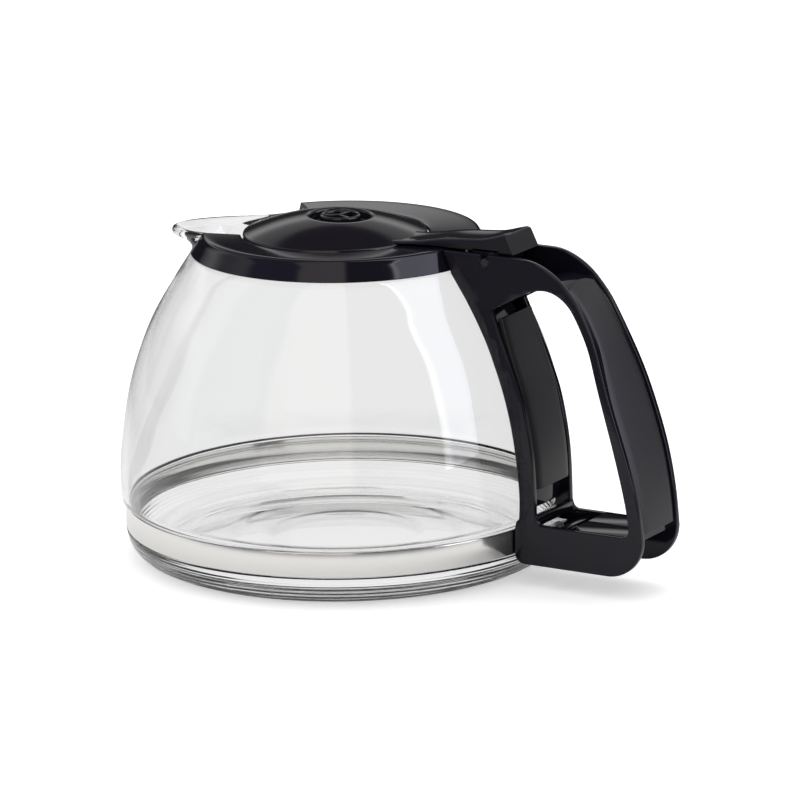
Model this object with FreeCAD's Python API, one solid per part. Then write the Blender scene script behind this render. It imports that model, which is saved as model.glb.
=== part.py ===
"""Glass coffee jug with a moulded handle, a clamped base band and a hinged lid.

Frame: millimetres, +Z up, origin on the jug's axis at its rest plane.
The handle points along +X and the pouring lip along -X.
One STEP file is written for each physical piece.
"""
import FreeCAD, Part
import math
import os

V = FreeCAD.Vector

# ---- jug ---------------------------------------------------------------
JUG_WALL = 2.2                 # glass wall thickness
JUG_REST_R = 61.5              # flat face that the jug stands on
JUG_FLOOR_Z = 5.0              # inside floor
JUG_GROOVE_R = 71.3            # groove that seats the steel band
JUG_SHOULDER = (               # (height, radius) of the outer wall above the band
    (20.0, 73.3), (30.0, 73.5), (40.0, 72.5), (50.0, 71.0), (60.0, 68.8),
    (70.0, 65.5), (80.0, 61.2), (90.0, 55.3), (100.0, 48.4))
JUG_RIM_R = 40.6
JUG_RIM_Z = 105.0
JUG_MOUTH_R = 38.9

# ---- pouring lip ---------------------------------------------------------
LIP_CENTRE_X = -50.0
LIP_TIP_X = -64.0
LIP_FLOOR_Z = 98.8             # lowest point of the lip's underside
LIP_TIP_Z = 102.4              # the rim drops towards the tip
LIP_WALL = 1.8

# ---- steel band and its clamp ----------------------------------------------
BAND_OUTER_R = 72.0
BAND_THICKNESS = 0.6
BAND_LOW_Z = 10.4
BAND_HIGH_Z = 18.6
BAND_TAB_Y = 6.2               # half the distance between the two band ends
BAND_TAB_END_X = 80.4
BAND_HOOK_INNER_Y = 3.4
CLAMP_Z = 14.5
SCREW_SHANK_R = 1.9
SCREW_HOLE_CLEARANCE = 0.25
THREAD_CLEARANCE = 0.05
YOKE_X = (77.2, 79.6)
YOKE_HALF_Y = 5.4
YOKE_Z = (11.0, 18.0)
BULKHEAD_X = (84.0, 86.6)
WASHER_THICKNESS = 0.8
WASHER_R = 4.2
SCREW_HEAD_R = 3.4
SCREW_HEAD_LENGTH = 2.6
SCREW_TIP_X = 75.4

# ---- rim collar ----------------------------------------------------------
COLLAR_LOW_R = 48.85
COLLAR_LOW_Z = 100.6
COLLAR_TOP_R = 44.6
COLLAR_TOP_Z = 107.0
COLLAR_INNER_R = 30.4          # about the dome's centre, not the jug's axis
COLLAR_PLATE_INNER_R = 27.0    # the plate is turned this far in, then cut to the circle above
COLLAR_INNER_Z = 106.2
COLLAR_LIP_Z = 104.0
COLLAR_LIP_WALL = 1.4
COLLAR_PLATE = 1.5
COLLAR_NEAR_END_DEG = 33.0     # ends of the opening for the pouring lip, from -X
COLLAR_FAR_END_DEG = 41.0
COLLAR_HEM = (43.6, 104.9)     # inside of the wall, (radius, height)
COLLAR_HEM_LOW = (48.0, 100.9)
COLLAR_RISER_X = (46.6, 49.6)
COLLAR_RISER_TOP_Z = 102.6
TONGUE_X = (45.0, 60.6)
TONGUE_HALF_Y = 7.6
TONGUE_Z = (96.5, 100.2)
TONGUE_SCREW_X = 58.0
TONGUE_SCREW_Y = 4.6
TONGUE_SCREW_R = 1.3
TONGUE_SCREW_HEAD_R = 2.3
TONGUE_SCREW_HEAD = 1.8

# ---- handle --------------------------------------------------------------
HANDLE_WALL = 2.2
HANDLE_TOP_Z = 107.1
HANDLE_FOOT_Z = 7.6
HANDLE_FRONT_X = 44.0
HANDLE_BACK_X = 117.7
FOOT_BACK_RADIUS = 12.8
FOOT_FRONT_RADIUS = 3.4
GLASS_GAP = 0.5                # between the handle and the glass
BRIDGE_Z = 21.0                # floor of the finger opening
BRIDGE_START_X = 91.0
BRIDGE_END_X = 113.6
BRIDGE_PLATE = 2.2
PARTING_GROOVE = 0.4
SHELF_X = (46.0, 61.4)
SHELF_Z = (94.0, 96.4)         # cross plate that carries the collar's tongue
BACK_CURVE = (                 # (x, z) of the handle's back, top to bottom
    (72.0, 107.1), (76.2, 106.8), (80.6, 105.4), (85.0, 103.0), (89.0, 99.7),
    (92.4, 95.9), (95.3, 91.8), (100.0, 82.8), (104.6, 71.2), (109.3, 57.6),
    (113.4, 44.6), (116.3, 31.5), (117.7, 20.4))
GRIP_FRONT_CURVE = (           # (x, z) of the grip's finger side, bottom to top
    (112.9, 24.0), (111.9, 32.0), (109.5, 44.0), (105.7, 58.5), (100.6, 74.0),
    (97.4, 82.0), (93.6, 89.3), (90.4, 93.8), (86.6, 96.6), (82.0, 97.7), (77.0, 96.9))
ARCH_END = (62.9, 89.4)        # where the arch meets the spine
SPINE_CURVE = (                # (x, z) of the spine's finger side, top to bottom
    (62.9, 89.4), (66.5, 80.4), (70.2, 71.6), (73.4, 63.4), (75.4, 56.5),
    (77.3, 46.5), (78.3, 36.0), (78.6, 24.0))
HALF_WIDTHS = (                # (z, spine half width, grip half width)
    (0.0, 12.7, 12.7), (20.0, 12.7, 12.7), (40.0, 12.7, 13.8), (58.0, 12.7, 14.4),
    (72.0, 12.7, 13.4), (82.0, 12.2, 11.8), (92.0, 11.4, 11.1), (112.0, 11.1, 11.1))
GRIP_COVER_TOP_Z = 101.2
GRIP_COVER_THICKNESS = 2.0
SPINE_COVER_TOP_Z = 88.6
SPINE_COVER_LOW_Z = 31.0
SPINE_COVER_THICKNESS = 2.6
SPINE_COVER_CURVE = (          # (x, z) of its face, more proud towards the top
    (65.6, 90.2), (68.4, 81.0), (71.5, 72.0), (74.3, 63.7), (76.1, 56.5),
    (78.0, 46.5), (79.0, 36.0), (79.3, 24.0))
COVER_SIDE_GAP = 0.15
CORNER_BAR_X = (76.4, 79.2)
CORNER_BAR_Z = (20.2, 23.4)
ARCH_LINER = 1.8
LINER_INSET = 0.4              # the liner sits inside the side walls' edges
WEB_THICKNESS = 1.8            # web between the side walls, along the glass
WEB_Z = (24.0, 91.8)
BLANK_HALF_Y = 20.0            # wider than the handle anywhere
CROSS_HALF_Y = 14.0

# ---- hinge ---------------------------------------------------------------
PIN_X = 60.3
PIN_Z = 104.6
PIN_R = 1.4
PIN_RUNNING_CLEARANCE = 0.05
PIN_HALF_LENGTH = 10.9
SNAP_SLOT_WIDTH = 2.5

# ---- lid -----------------------------------------------------------------
DOME_CENTRE_X = -2.2           # the dome sits a little towards the lip
DOME_CROWN_Z = 112.8
DOME_SPHERE_R = 70.0
DOME_EDGE_R = 30.0
DOME_SKIRT_Z = 103.2
DOME_WALL = 1.8
RECESS_R = 9.9
RECESS_WALL = 1.4
RECESS_FLOOR_Z = 108.6
INLET_SEAT_R = 5.2
LEVER_HALF_Y = 8.2
LEVER_UNDER_Z = 107.4
LEVER_ROOT_UNDER = (30.6, 106.9)
LEVER_ROOT_LOW = (24.0, 105.4)
LEVER_ROOT_CLEAR_Z = 106.6     # outside the dome the root stays above the collar
LEVER_TOP = (                  # (x, z) of the lever's top, dome to thumb end
    (24.0, 107.5), (28.0, 107.75), (31.6, 108.2), (36.0, 108.9), (41.0, 109.8),
    (47.0, 110.6), (54.4, 111.2), (58.5, 111.7), (62.0, 112.7), (65.6, 113.6))
LEVER_NECK = (3.4, 0.8)        # underside behind the pin, from the pin
LEVER_HEEL = (-3.7, -1.4)      # underside before the pin, from the pin
LEVER_HEEL_END_X = 51.2
LEVER_FLAT_START_X = 40.0
BORE_PRESS_CLEARANCE = 0.02
LEVER_END = ((66.4, 113.3), (69.2, 107.4))
HINGE_BOSS_R = 3.2
PLATE_R = 27.8                 # about the dome's centre
PLATE_Z = (103.4, 104.6)
PLATE_RING_WALL = 1.4
PLATE_RING_HEIGHT = 0.6
DRAIN_HOLE_R = 1.5
DRAIN_CIRCLE_R = 14.0
DRAIN_COUNT = 4
INLET_RING_R = 6.7
INLET_TOP_Z = 112.3
INLET_RING_WALL = 1.3
INLET_TUBE_R = 5.0
INLET_TUBE_WALL = 1.2
INLET_LOW_Z = 99.0
SPOKE_COUNT = 3
SPOKE_WIDTH = 1.3
SPOKE_HEIGHT = 1.6


def spline(points):
    """A smooth edge through points."""
    curve = Part.BSplineCurve()
    curve.interpolate(points)
    return curve.toShape()


def line(start, end):
    """A straight edge."""
    return Part.LineSegment(start, end).toShape()


def arc(start, middle, end):
    """A circular edge through three points."""
    return Part.Arc(start, middle, end).toShape()


def rz(radius, height):
    """A point of a profile that turns about the jug's axis."""
    return V(radius, 0, height)


def face_of(edges):
    """A flat face inside a closed loop of edges."""
    return Part.Face(Part.Wire(edges))


def turned(edges, angle=360.0):
    """A solid of revolution about the jug's axis."""
    return face_of(edges).revolve(V(0, 0, 0), V(0, 0, 1), angle)


def polyline(points):
    """Straight edges through points, closed back to the first."""
    loop = list(points) + [points[0]]
    return [line(a, b) for a, b in zip(loop, loop[1:])]


def block(x_range, y_range, z_range):
    """A box between two corners."""
    size = [high - low for low, high in (x_range, y_range, z_range)]
    return Part.makeBox(*size, V(x_range[0], y_range[0], z_range[0]))


def drum(radius, length, start, axis):
    """A cylinder."""
    return Part.makeCylinder(radius, length, start, axis)


def widened(face, half_width):
    """An XZ face made solid, the same distance to both sides."""
    slab = face.extrude(V(0, 2 * half_width, 0))
    slab.translate(V(0, -half_width, 0))
    return slab


# ---- jug -----------------------------------------------------------------
def jug_outer_edges(extra=0.0):
    """Outer profile of the glass, closed along the axis, grown by extra."""
    wall = [rz(radius + extra, height) for height, radius in JUG_SHOULDER]
    rest_z = -extra
    return [
        line(rz(0, rest_z), rz(JUG_REST_R, rest_z)),
        arc(rz(JUG_REST_R, rest_z), rz(68.6 + extra, 2.9), rz(71.9 + extra, 9.6)),
        line(rz(71.9 + extra, 9.6), rz(JUG_GROOVE_R + extra, 9.9)),
        line(rz(JUG_GROOVE_R + extra, 9.9), rz(JUG_GROOVE_R + extra, 19.1)),
        line(rz(JUG_GROOVE_R + extra, 19.1), wall[0]),
        spline(wall),
        arc(wall[-1], rz(44.9 + extra, 102.5), rz(JUG_RIM_R + extra, JUG_RIM_Z)),
        line(rz(JUG_RIM_R + extra, JUG_RIM_Z), rz(0, JUG_RIM_Z)),
        line(rz(0, JUG_RIM_Z), rz(0, rest_z)),
    ]


def jug_inner_edges():
    """Inner profile of the glass, closed along the axis and open at the mouth."""
    wall = [rz(radius - JUG_WALL, height) for height, radius in JUG_SHOULDER]
    above = JUG_RIM_Z + 10
    return [
        line(rz(0, JUG_FLOOR_Z), rz(60.0, JUG_FLOOR_Z)),
        arc(rz(60.0, JUG_FLOOR_Z), rz(66.8, 7.9), rz(69.0, 13.0)),
        line(rz(69.0, 13.0), wall[0]),
        spline(wall),
        arc(wall[-1], rz(42.4, 100.6), rz(JUG_MOUTH_R, 103.6)),
        line(rz(JUG_MOUTH_R, 103.6), rz(JUG_MOUTH_R, above)),
        line(rz(JUG_MOUTH_R, above), rz(0, above)),
        line(rz(0, above), rz(0, JUG_FLOOR_Z)),
    ]


def lip_ball(inset):
    """Sphere whose underside is the pouring lip, made smaller by inset."""
    reach = LIP_CENTRE_X - LIP_TIP_X
    rise = LIP_TIP_Z - LIP_FLOOR_Z
    radius = (reach ** 2 + rise ** 2) / (2 * rise)
    return Part.makeSphere(radius - inset, V(LIP_CENTRE_X, 0, LIP_FLOOR_Z + radius))


def above_lip():
    """The space above the lip's rim plane, which drops from mouth to tip."""
    slope = (JUG_RIM_Z - LIP_TIP_Z) / (-JUG_MOUTH_R - LIP_TIP_X)
    far_z = LIP_TIP_Z - slope * (LIP_TIP_X + 100)
    side_view = [V(-JUG_MOUTH_R, 0, JUG_RIM_Z), V(-100, 0, far_z)]
    side_view += [V(-100, 0, 170), V(-JUG_MOUTH_R, 0, 170)]
    return widened(face_of(polyline(side_view)), 50)


def make_jug():
    """The glass jug with its pouring lip and a flat base."""
    keep = block((-100, -20), (-50, 50), (60, JUG_RIM_Z))
    outer = turned(jug_outer_edges()).fuse(lip_ball(0.0).common(keep))
    inner = turned(jug_inner_edges()).fuse(lip_ball(LIP_WALL))
    jug = outer.cut(inner).cut(above_lip())
    return jug.removeSplitter()


# ---- band and clamp --------------------------------------------------------
def make_band():
    """Steel strap round the base, its two ends hooked behind the yoke."""
    height = BAND_HIGH_Z - BAND_LOW_Z
    inner_r = BAND_OUTER_R - BAND_THICKNESS
    low = V(0, 0, BAND_LOW_Z)
    ring = drum(BAND_OUTER_R, height, low, V(0, 0, 1))
    ring = ring.cut(drum(inner_r, height, low, V(0, 0, 1)))
    z_range = (BAND_LOW_Z, BAND_HIGH_Z)
    tab_outer = BAND_TAB_Y + BAND_THICKNESS
    band = ring.cut(block((0, 100), (-BAND_TAB_Y, BAND_TAB_Y), z_range))
    seat_x = math.sqrt(inner_r ** 2 - BAND_TAB_Y ** 2)
    for side in (-1, 1):
        tab_y = sorted((side * BAND_TAB_Y, side * tab_outer))
        hook_y = sorted((side * BAND_HOOK_INNER_Y, side * tab_outer))
        band = band.fuse(block((seat_x, BAND_TAB_END_X), tab_y, z_range))
        hook_x = (BAND_TAB_END_X - BAND_THICKNESS, BAND_TAB_END_X)
        band = band.fuse(block(hook_x, hook_y, z_range))
    return band.removeSplitter()


def make_yoke():
    """Threaded plate that the clamp screw draws against the band's hooks."""
    plate = block(YOKE_X, (-YOKE_HALF_Y, YOKE_HALF_Y), YOKE_Z)
    hole_r = SCREW_SHANK_R + THREAD_CLEARANCE
    return plate.cut(drum(hole_r, 10, V(YOKE_X[0] - 2, 0, CLAMP_Z), V(1, 0, 0)))


def make_washer():
    """Plain washer under the clamp screw's head."""
    start = V(BULKHEAD_X[1], 0, CLAMP_Z)
    disc = drum(WASHER_R, WASHER_THICKNESS, start, V(1, 0, 0))
    return disc.cut(drum(SCREW_SHANK_R + SCREW_HOLE_CLEARANCE, 4, start, V(1, 0, 0)))


def make_clamp_screw():
    """Pan head screw with a cross recess, along the handle's foot."""
    head_x = BULKHEAD_X[1] + WASHER_THICKNESS
    start = V(SCREW_TIP_X, 0, CLAMP_Z)
    shank = drum(SCREW_SHANK_R, head_x - SCREW_TIP_X, start, V(1, 0, 0))
    head = drum(SCREW_HEAD_R, SCREW_HEAD_LENGTH, V(head_x, 0, CLAMP_Z), V(1, 0, 0))
    rim = [edge for edge in head.Edges if edge.CenterOfMass.x > head_x + 1]
    screw = shank.fuse(head.makeFillet(0.9, rim))
    recess_x = (head_x + 1.0, head_x + SCREW_HEAD_LENGTH + 1)
    for half_y, half_z in ((1.9, 0.45), (0.45, 1.9)):
        slot = block(recess_x, (-half_y, half_y), (CLAMP_Z - half_z, CLAMP_Z + half_z))
        screw = screw.cut(slot)
    return screw.removeSplitter()


# ---- collar ----------------------------------------------------------------
def collar_edges():
    """Section of the collar's sloping wall and broad top plate."""
    plate_under = COLLAR_TOP_Z - COLLAR_PLATE
    shoulder_low = rz(COLLAR_TOP_R + 0.5, COLLAR_TOP_Z - 0.7)
    shoulder_mid = rz(COLLAR_TOP_R + 0.1, COLLAR_TOP_Z - 0.2)
    shoulder_top = rz(COLLAR_TOP_R - 0.6, COLLAR_TOP_Z)
    foot = rz(COLLAR_LOW_R, COLLAR_LOW_Z)
    inner_top = rz(COLLAR_PLATE_INNER_R, COLLAR_INNER_Z)
    inner_low = rz(COLLAR_PLATE_INNER_R, COLLAR_INNER_Z - COLLAR_PLATE)
    under = rz(JUG_RIM_R + 1.4, plate_under)
    return [
        line(foot, shoulder_low),
        arc(shoulder_low, shoulder_mid, shoulder_top),
        line(shoulder_top, inner_top),
        line(inner_top, inner_low),
        line(inner_low, under),
        line(under, rz(*COLLAR_HEM)),
        line(rz(*COLLAR_HEM), rz(*COLLAR_HEM_LOW)),
        line(rz(*COLLAR_HEM_LOW), foot),
    ]


def collar_sweep(edges):
    """A section turned about the jug's axis, open towards the pouring lip."""
    section = face_of(edges)
    section.rotate(V(0, 0, 0), V(0, 0, 1), 180 + COLLAR_NEAR_END_DEG)
    return section.revolve(V(0, 0, 0), V(0, 0, 1), 360 - COLLAR_NEAR_END_DEG - COLLAR_FAR_END_DEG)


def collar_lip():
    """Inner lip of the collar, round the dome."""
    low = V(DOME_CENTRE_X, 0, COLLAR_LIP_Z)
    height = COLLAR_INNER_Z - COLLAR_PLATE / 2 - COLLAR_LIP_Z
    lip = drum(COLLAR_INNER_R + COLLAR_LIP_WALL, height, low, V(0, 0, 1))
    sector = polyline([rz(0, COLLAR_LIP_Z), rz(JUG_RIM_R, COLLAR_LIP_Z), rz(JUG_RIM_R, COLLAR_TOP_Z),
                       rz(0, COLLAR_TOP_Z)])
    return lip.common(collar_sweep(sector))


def tongue_screw_places():
    """Centres of the two screws that hold the collar's tongue."""
    return [V(TONGUE_SCREW_X, side * TONGUE_SCREW_Y, 0) for side in (-1, 1)]


def make_collar():
    """C-shaped collar over the rim, with a tongue that goes into the handle."""
    ring = collar_sweep(collar_edges()).fuse(collar_lip())
    ring = ring.cut(drum(COLLAR_INNER_R, 20, V(DOME_CENTRE_X, 0, COLLAR_LOW_Z), V(0, 0, 1)))
    tongue = block(TONGUE_X, (-TONGUE_HALF_Y, TONGUE_HALF_Y), TONGUE_Z)
    riser = block(COLLAR_RISER_X, (-TONGUE_HALF_Y, TONGUE_HALF_Y), (TONGUE_Z[0], COLLAR_RISER_TOP_Z))
    tongue = tongue.fuse(riser).cut(turned(jug_outer_edges(GLASS_GAP)))
    collar = ring.fuse(tongue)
    for place in tongue_screw_places():
        hole_r = TONGUE_SCREW_R + THREAD_CLEARANCE
        collar = collar.cut(drum(hole_r, 4.0, place + V(0, 0, TONGUE_Z[0] - 0.4), V(0, 0, 1)))
    return collar.removeSplitter()


def make_collar_screws():
    """Two self-tapping screws up through the handle's shelf into the tongue."""
    screws = []
    for place in tongue_screw_places():
        head_start = place + V(0, 0, SHELF_Z[0] - TONGUE_SCREW_HEAD)
        head = drum(TONGUE_SCREW_HEAD_R, TONGUE_SCREW_HEAD, head_start, V(0, 0, 1))
        head = head.cut(block((place.x - 1.4, place.x + 1.4), (place.y - 0.35, place.y + 0.35),
                              (head_start.z - 1, head_start.z + 0.9)))
        shank_start = place + V(0, 0, SHELF_Z[0])
        shank_length = TONGUE_Z[0] + 3.2 - SHELF_Z[0]
        screws.append(head.fuse(drum(TONGUE_SCREW_R, shank_length, shank_start, V(0, 0, 1))))
    return Part.makeCompound(screws)


# ---- handle ----------------------------------------------------------------
def xz(point):
    """A profile point of the handle in its middle plane."""
    return V(point[0], 0, point[1])


def handle_outline():
    """Outer edge of the handle, seen from the side."""
    back = [xz(point) for point in BACK_CURVE]
    corner = FOOT_BACK_RADIUS
    turn = corner * (1 - math.sqrt(0.5))
    foot_back = V(HANDLE_BACK_X - corner, 0, HANDLE_FOOT_Z)
    front = FOOT_FRONT_RADIUS
    front_turn = front * (1 - math.sqrt(0.5))
    foot_x = BAND_OUTER_R - 1.2
    return [
        line(V(HANDLE_FRONT_X, 0, HANDLE_TOP_Z), back[0]),
        spline(back),
        arc(back[-1], V(HANDLE_BACK_X - turn, 0, HANDLE_FOOT_Z + turn), foot_back),
        line(foot_back, V(foot_x + front, 0, HANDLE_FOOT_Z)),
        arc(V(foot_x + front, 0, HANDLE_FOOT_Z),
            V(foot_x + front_turn, 0, HANDLE_FOOT_Z + front_turn),
            V(foot_x, 0, HANDLE_FOOT_Z + front)),
        line(V(foot_x, 0, HANDLE_FOOT_Z + front), V(foot_x, 0, 20.0)),
        line(V(foot_x, 0, 20.0), V(HANDLE_FRONT_X, 0, 20.0)),
        line(V(HANDLE_FRONT_X, 0, 20.0), V(HANDLE_FRONT_X, 0, HANDLE_TOP_Z)),
    ]


def finger_outline():
    """Edge of the finger opening, seen from the side."""
    grip = [xz(point) for point in GRIP_FRONT_CURVE]
    spine = [xz(point) for point in SPINE_CURVE]
    low_front = V(spine[-1].x + 2.4, 0, BRIDGE_Z)
    low_back = V(grip[0].x - 2.6, 0, BRIDGE_Z)
    return [
        spline(grip),
        line(grip[-1], spine[0]),
        spline(spine),
        arc(spine[-1], V(spine[-1].x + 0.8, 0, BRIDGE_Z + 0.8), low_front),
        line(low_front, low_back),
        arc(low_back, V(low_back.x + 1.9, 0, BRIDGE_Z + 0.8), grip[0]),
    ]


def width_envelope(inset=0.0):
    """Solid that limits the handle's width: straight spine, swelling grip."""
    wires = []
    for z, spine_half, grip_half in HALF_WIDTHS:
        near = [(30.0, spine_half), (84.0, spine_half), (100.0, grip_half), (130.0, grip_half)]
        near = [(x, half - inset) for x, half in near]
        ring = [V(x, -half, z) for x, half in near] + [V(x, half, z) for x, half in reversed(near)]
        wires.append(Part.Wire(polyline(ring)))
    return Part.makeLoft(wires, True, True)


def handle_keep_out():
    """Space taken by the glass, the band and the collar, with its gap."""
    glass = turned(jug_outer_edges(GLASS_GAP))
    band = drum(BAND_OUTER_R + 0.2, 22, V(0, 0, 0), V(0, 0, 1))
    wall = [
        line(rz(0, COLLAR_LOW_Z - 0.3), rz(COLLAR_LOW_R + 0.3, COLLAR_LOW_Z - 0.3)),
        line(rz(COLLAR_LOW_R + 0.3, COLLAR_LOW_Z - 0.3), rz(COLLAR_TOP_R + 0.8, 110)),
        line(rz(COLLAR_TOP_R + 0.8, 110), rz(0, 110)),
        line(rz(0, 110), rz(0, COLLAR_LOW_Z - 0.3)),
    ]
    return glass.fuse(band).fuse(turned(wall))


def keyhole():
    """Snap-in bearing slot for the hinge pin, open at the top."""
    bore_r = PIN_R + PIN_RUNNING_CLEARANCE
    bore = drum(bore_r, 40, V(PIN_X, -20, PIN_Z), V(0, 1, 0))
    half = SNAP_SLOT_WIDTH / 2
    return bore.fuse(block((PIN_X - half, PIN_X + half), (-20, 20), (PIN_Z, 112)))


def band_about(curve_points, depth, top_z, low_z):
    """A curved strip of given depth behind a side-view curve."""
    front = spline([xz(point) for point in curve_points])
    path_end = [front.valueAt(front.FirstParameter), front.valueAt(front.LastParameter)]
    shifted = front.copy()
    shifted.translate(V(depth, 0, 0))
    sides = [line(end, end + V(depth, 0, 0)) for end in path_end]
    strip = widened(face_of([front, sides[1], shifted, sides[0]]), BLANK_HALF_Y)
    return strip.common(block((0, 200), (-40, 40), (low_z, top_z)))


def handle_cross_parts():
    """Plates that tie the two side walls together."""
    wide = (-CROSS_HALF_Y, CROSS_HALF_Y)
    bridge = block((BRIDGE_START_X, BRIDGE_END_X), wide, (BRIDGE_Z - BRIDGE_PLATE, BRIDGE_Z))
    half = PARTING_GROOVE / 2
    bridge = bridge.cut(block((0, 200), (-half, half), (BRIDGE_Z - PARTING_GROOVE, BRIDGE_Z + 1)))
    bulkhead = block(BULKHEAD_X, wide, (HANDLE_FOOT_Z + 1, BRIDGE_Z - 1.5))
    hole_r = SCREW_SHANK_R + SCREW_HOLE_CLEARANCE
    bulkhead = bulkhead.cut(drum(hole_r, 10, V(BULKHEAD_X[0] - 2, 0, CLAMP_Z), V(1, 0, 0)))
    bar = block(CORNER_BAR_X, wide, CORNER_BAR_Z)
    shelf = block(SHELF_X, wide, SHELF_Z)
    for place in tongue_screw_places():
        shelf = shelf.cut(drum(TONGUE_SCREW_R + 0.2, 9, place + V(0, 0, SHELF_Z[0] - 2), V(0, 0, 1)))
    web = turned(jug_outer_edges(GLASS_GAP + WEB_THICKNESS)).common(block((40, 90), wide, WEB_Z))
    return [bridge, bulkhead, bar, shelf, web, arch_liner()]


def beside(points, distance):
    """Side-view points moved to the right of their direction of travel."""
    moved = []
    for index, point in enumerate(points):
        before = points[max(index - 1, 0)]
        after = points[min(index + 1, len(points) - 1)]
        run = (after - before).normalize()
        moved.append(point + V(run.z, 0, -run.x) * distance)
    return moved


def arch_liner():
    """Finger side of the arch and the grip, closing the handle's hollow."""
    low = xz((GRIP_FRONT_CURVE[0][0] + 0.3, BRIDGE_Z - BRIDGE_PLATE))
    edge = [low] + [xz(point) for point in GRIP_FRONT_CURVE]
    inner = beside(edge, LINER_INSET)
    outer = beside(edge, LINER_INSET + ARCH_LINER)
    foot = xz(ARCH_END) + V(0, 0, LINER_INSET)
    foot_top = foot + V(0, 0, ARCH_LINER)
    edges = [
        spline(inner),
        line(inner[-1], foot),
        line(foot, foot_top),
        line(foot_top, outer[-1]),
        spline(outer),
        line(outer[0], inner[0]),
    ]
    return widened(face_of(edges), CROSS_HALF_Y)


def make_handle_frame():
    """Two side walls joined by cross plates, cut for the glass and the pin."""
    side_view = face_of(handle_outline()).cut(face_of(finger_outline()))
    blank = widened(side_view, BLANK_HALF_Y)
    envelope = width_envelope()
    hollow = width_envelope(HANDLE_WALL)
    frame = blank.common(envelope).cut(hollow)
    inside_outline = widened(face_of(handle_outline()), BLANK_HALF_Y).common(envelope)
    for part in handle_cross_parts():
        frame = frame.fuse(part.common(inside_outline))
    frame = frame.cut(handle_keep_out()).cut(keyhole())
    return frame.removeSplitter()


def inside_walls():
    """Space between the handle's side walls, with the covers' side gap."""
    return width_envelope(HANDLE_WALL + COVER_SIDE_GAP)


def make_grip_cover():
    """Satin back of the grip, flush with the back curve."""
    lower = [point for point in BACK_CURVE if point[1] <= GRIP_COVER_TOP_Z + 3]
    strip = band_about(lower, -GRIP_COVER_THICKNESS, GRIP_COVER_TOP_Z, BRIDGE_Z)
    return strip.common(inside_walls()).cut(arch_liner()).removeSplitter()


def make_spine_cover():
    """Satin finger side of the spine, slightly proud of the side walls."""
    strip = band_about(SPINE_COVER_CURVE, -SPINE_COVER_THICKNESS, SPINE_COVER_TOP_Z, SPINE_COVER_LOW_Z)
    return strip.common(inside_walls()).cut(arch_liner()).removeSplitter()


# ---- lid -------------------------------------------------------------------
def dome_z(radius, drop=0.0):
    """Height of the lid's spherical top at a radius."""
    return DOME_CROWN_Z - drop - radius ** 2 / (2 * DOME_SPHERE_R)


def dome_cap(edge_r, drop):
    """Solid cap under the dome's top, down to the skirt's edge."""
    top = [rz(r, dome_z(r, drop)) for r in (0, edge_r / 3, 2 * edge_r / 3, edge_r)]
    cap = turned([
        spline(top),
        line(top[-1], rz(edge_r, DOME_SKIRT_Z)),
        line(rz(edge_r, DOME_SKIRT_Z), rz(0, DOME_SKIRT_Z)),
        line(rz(0, DOME_SKIRT_Z), top[0]),
    ])
    cap.translate(V(DOME_CENTRE_X, 0, 0))
    return cap


def make_dome():
    """Thin dome with a skirt, and a recess round the inlet on the jug's axis."""
    up = V(0, 0, 1)
    cap = dome_cap(DOME_EDGE_R, 0.0)
    cup_low = V(0, 0, RECESS_FLOOR_Z - RECESS_WALL)
    cup = drum(RECESS_R + RECESS_WALL, 10, cup_low, up).common(cap)
    dome = cap.cut(dome_cap(DOME_EDGE_R - DOME_WALL, DOME_WALL)).fuse(cup)
    dome = dome.cut(drum(RECESS_R, 10, V(0, 0, RECESS_FLOOR_Z), up))
    return dome.cut(drum(INLET_SEAT_R, 10, cup_low - up, up))


def lever_solid():
    """Thumb lever from the dome to its raised end, with the hinge boss."""
    top = [xz(point) for point in LEVER_TOP]
    end_top = xz(LEVER_END[0])
    end_low = xz(LEVER_END[1])
    under = LEVER_UNDER_Z
    neck = V(PIN_X + LEVER_NECK[0], 0, PIN_Z + LEVER_NECK[1])
    heel = V(PIN_X + LEVER_HEEL[0], 0, PIN_Z + LEVER_HEEL[1])
    heel_end = V(LEVER_HEEL_END_X, 0, under)
    flat_start = V(LEVER_FLAT_START_X, 0, under)
    root = xz(LEVER_ROOT_UNDER)
    tip = xz(LEVER_ROOT_LOW)
    corners = [top[-1], end_top, end_low, neck, heel, heel_end, flat_start, root, tip, top[0]]
    edges = [spline(top)] + [line(a, b) for a, b in zip(corners, corners[1:])]
    lever = widened(face_of(edges), LEVER_HALF_Y)
    boss_start = V(PIN_X, -LEVER_HALF_Y, PIN_Z)
    boss = drum(HINGE_BOSS_R, 2 * LEVER_HALF_Y, boss_start, V(0, 1, 0))
    return lever.fuse(boss)


def make_lid_cover():
    """Domed lid with its thumb lever."""
    inside = drum(DOME_EDGE_R - DOME_WALL / 2, 20, V(DOME_CENTRE_X, 0, 90), V(0, 0, 1))
    wide = (-CROSS_HALF_Y, CROSS_HALF_Y)
    over_collar = block((0, LEVER_ROOT_UNDER[0]), wide, (DOME_SKIRT_Z - 3, LEVER_ROOT_CLEAR_Z))
    over_collar = over_collar.cut(drum(DOME_EDGE_R, 20, V(DOME_CENTRE_X, 0, 90), V(0, 0, 1)))
    lid = make_dome().fuse(lever_solid().cut(inside).cut(over_collar))
    bore_r = PIN_R + BORE_PRESS_CLEARANCE
    lid = lid.cut(drum(bore_r, 40, V(PIN_X, -20, PIN_Z), V(0, 1, 0)))
    return lid.removeSplitter()


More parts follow.
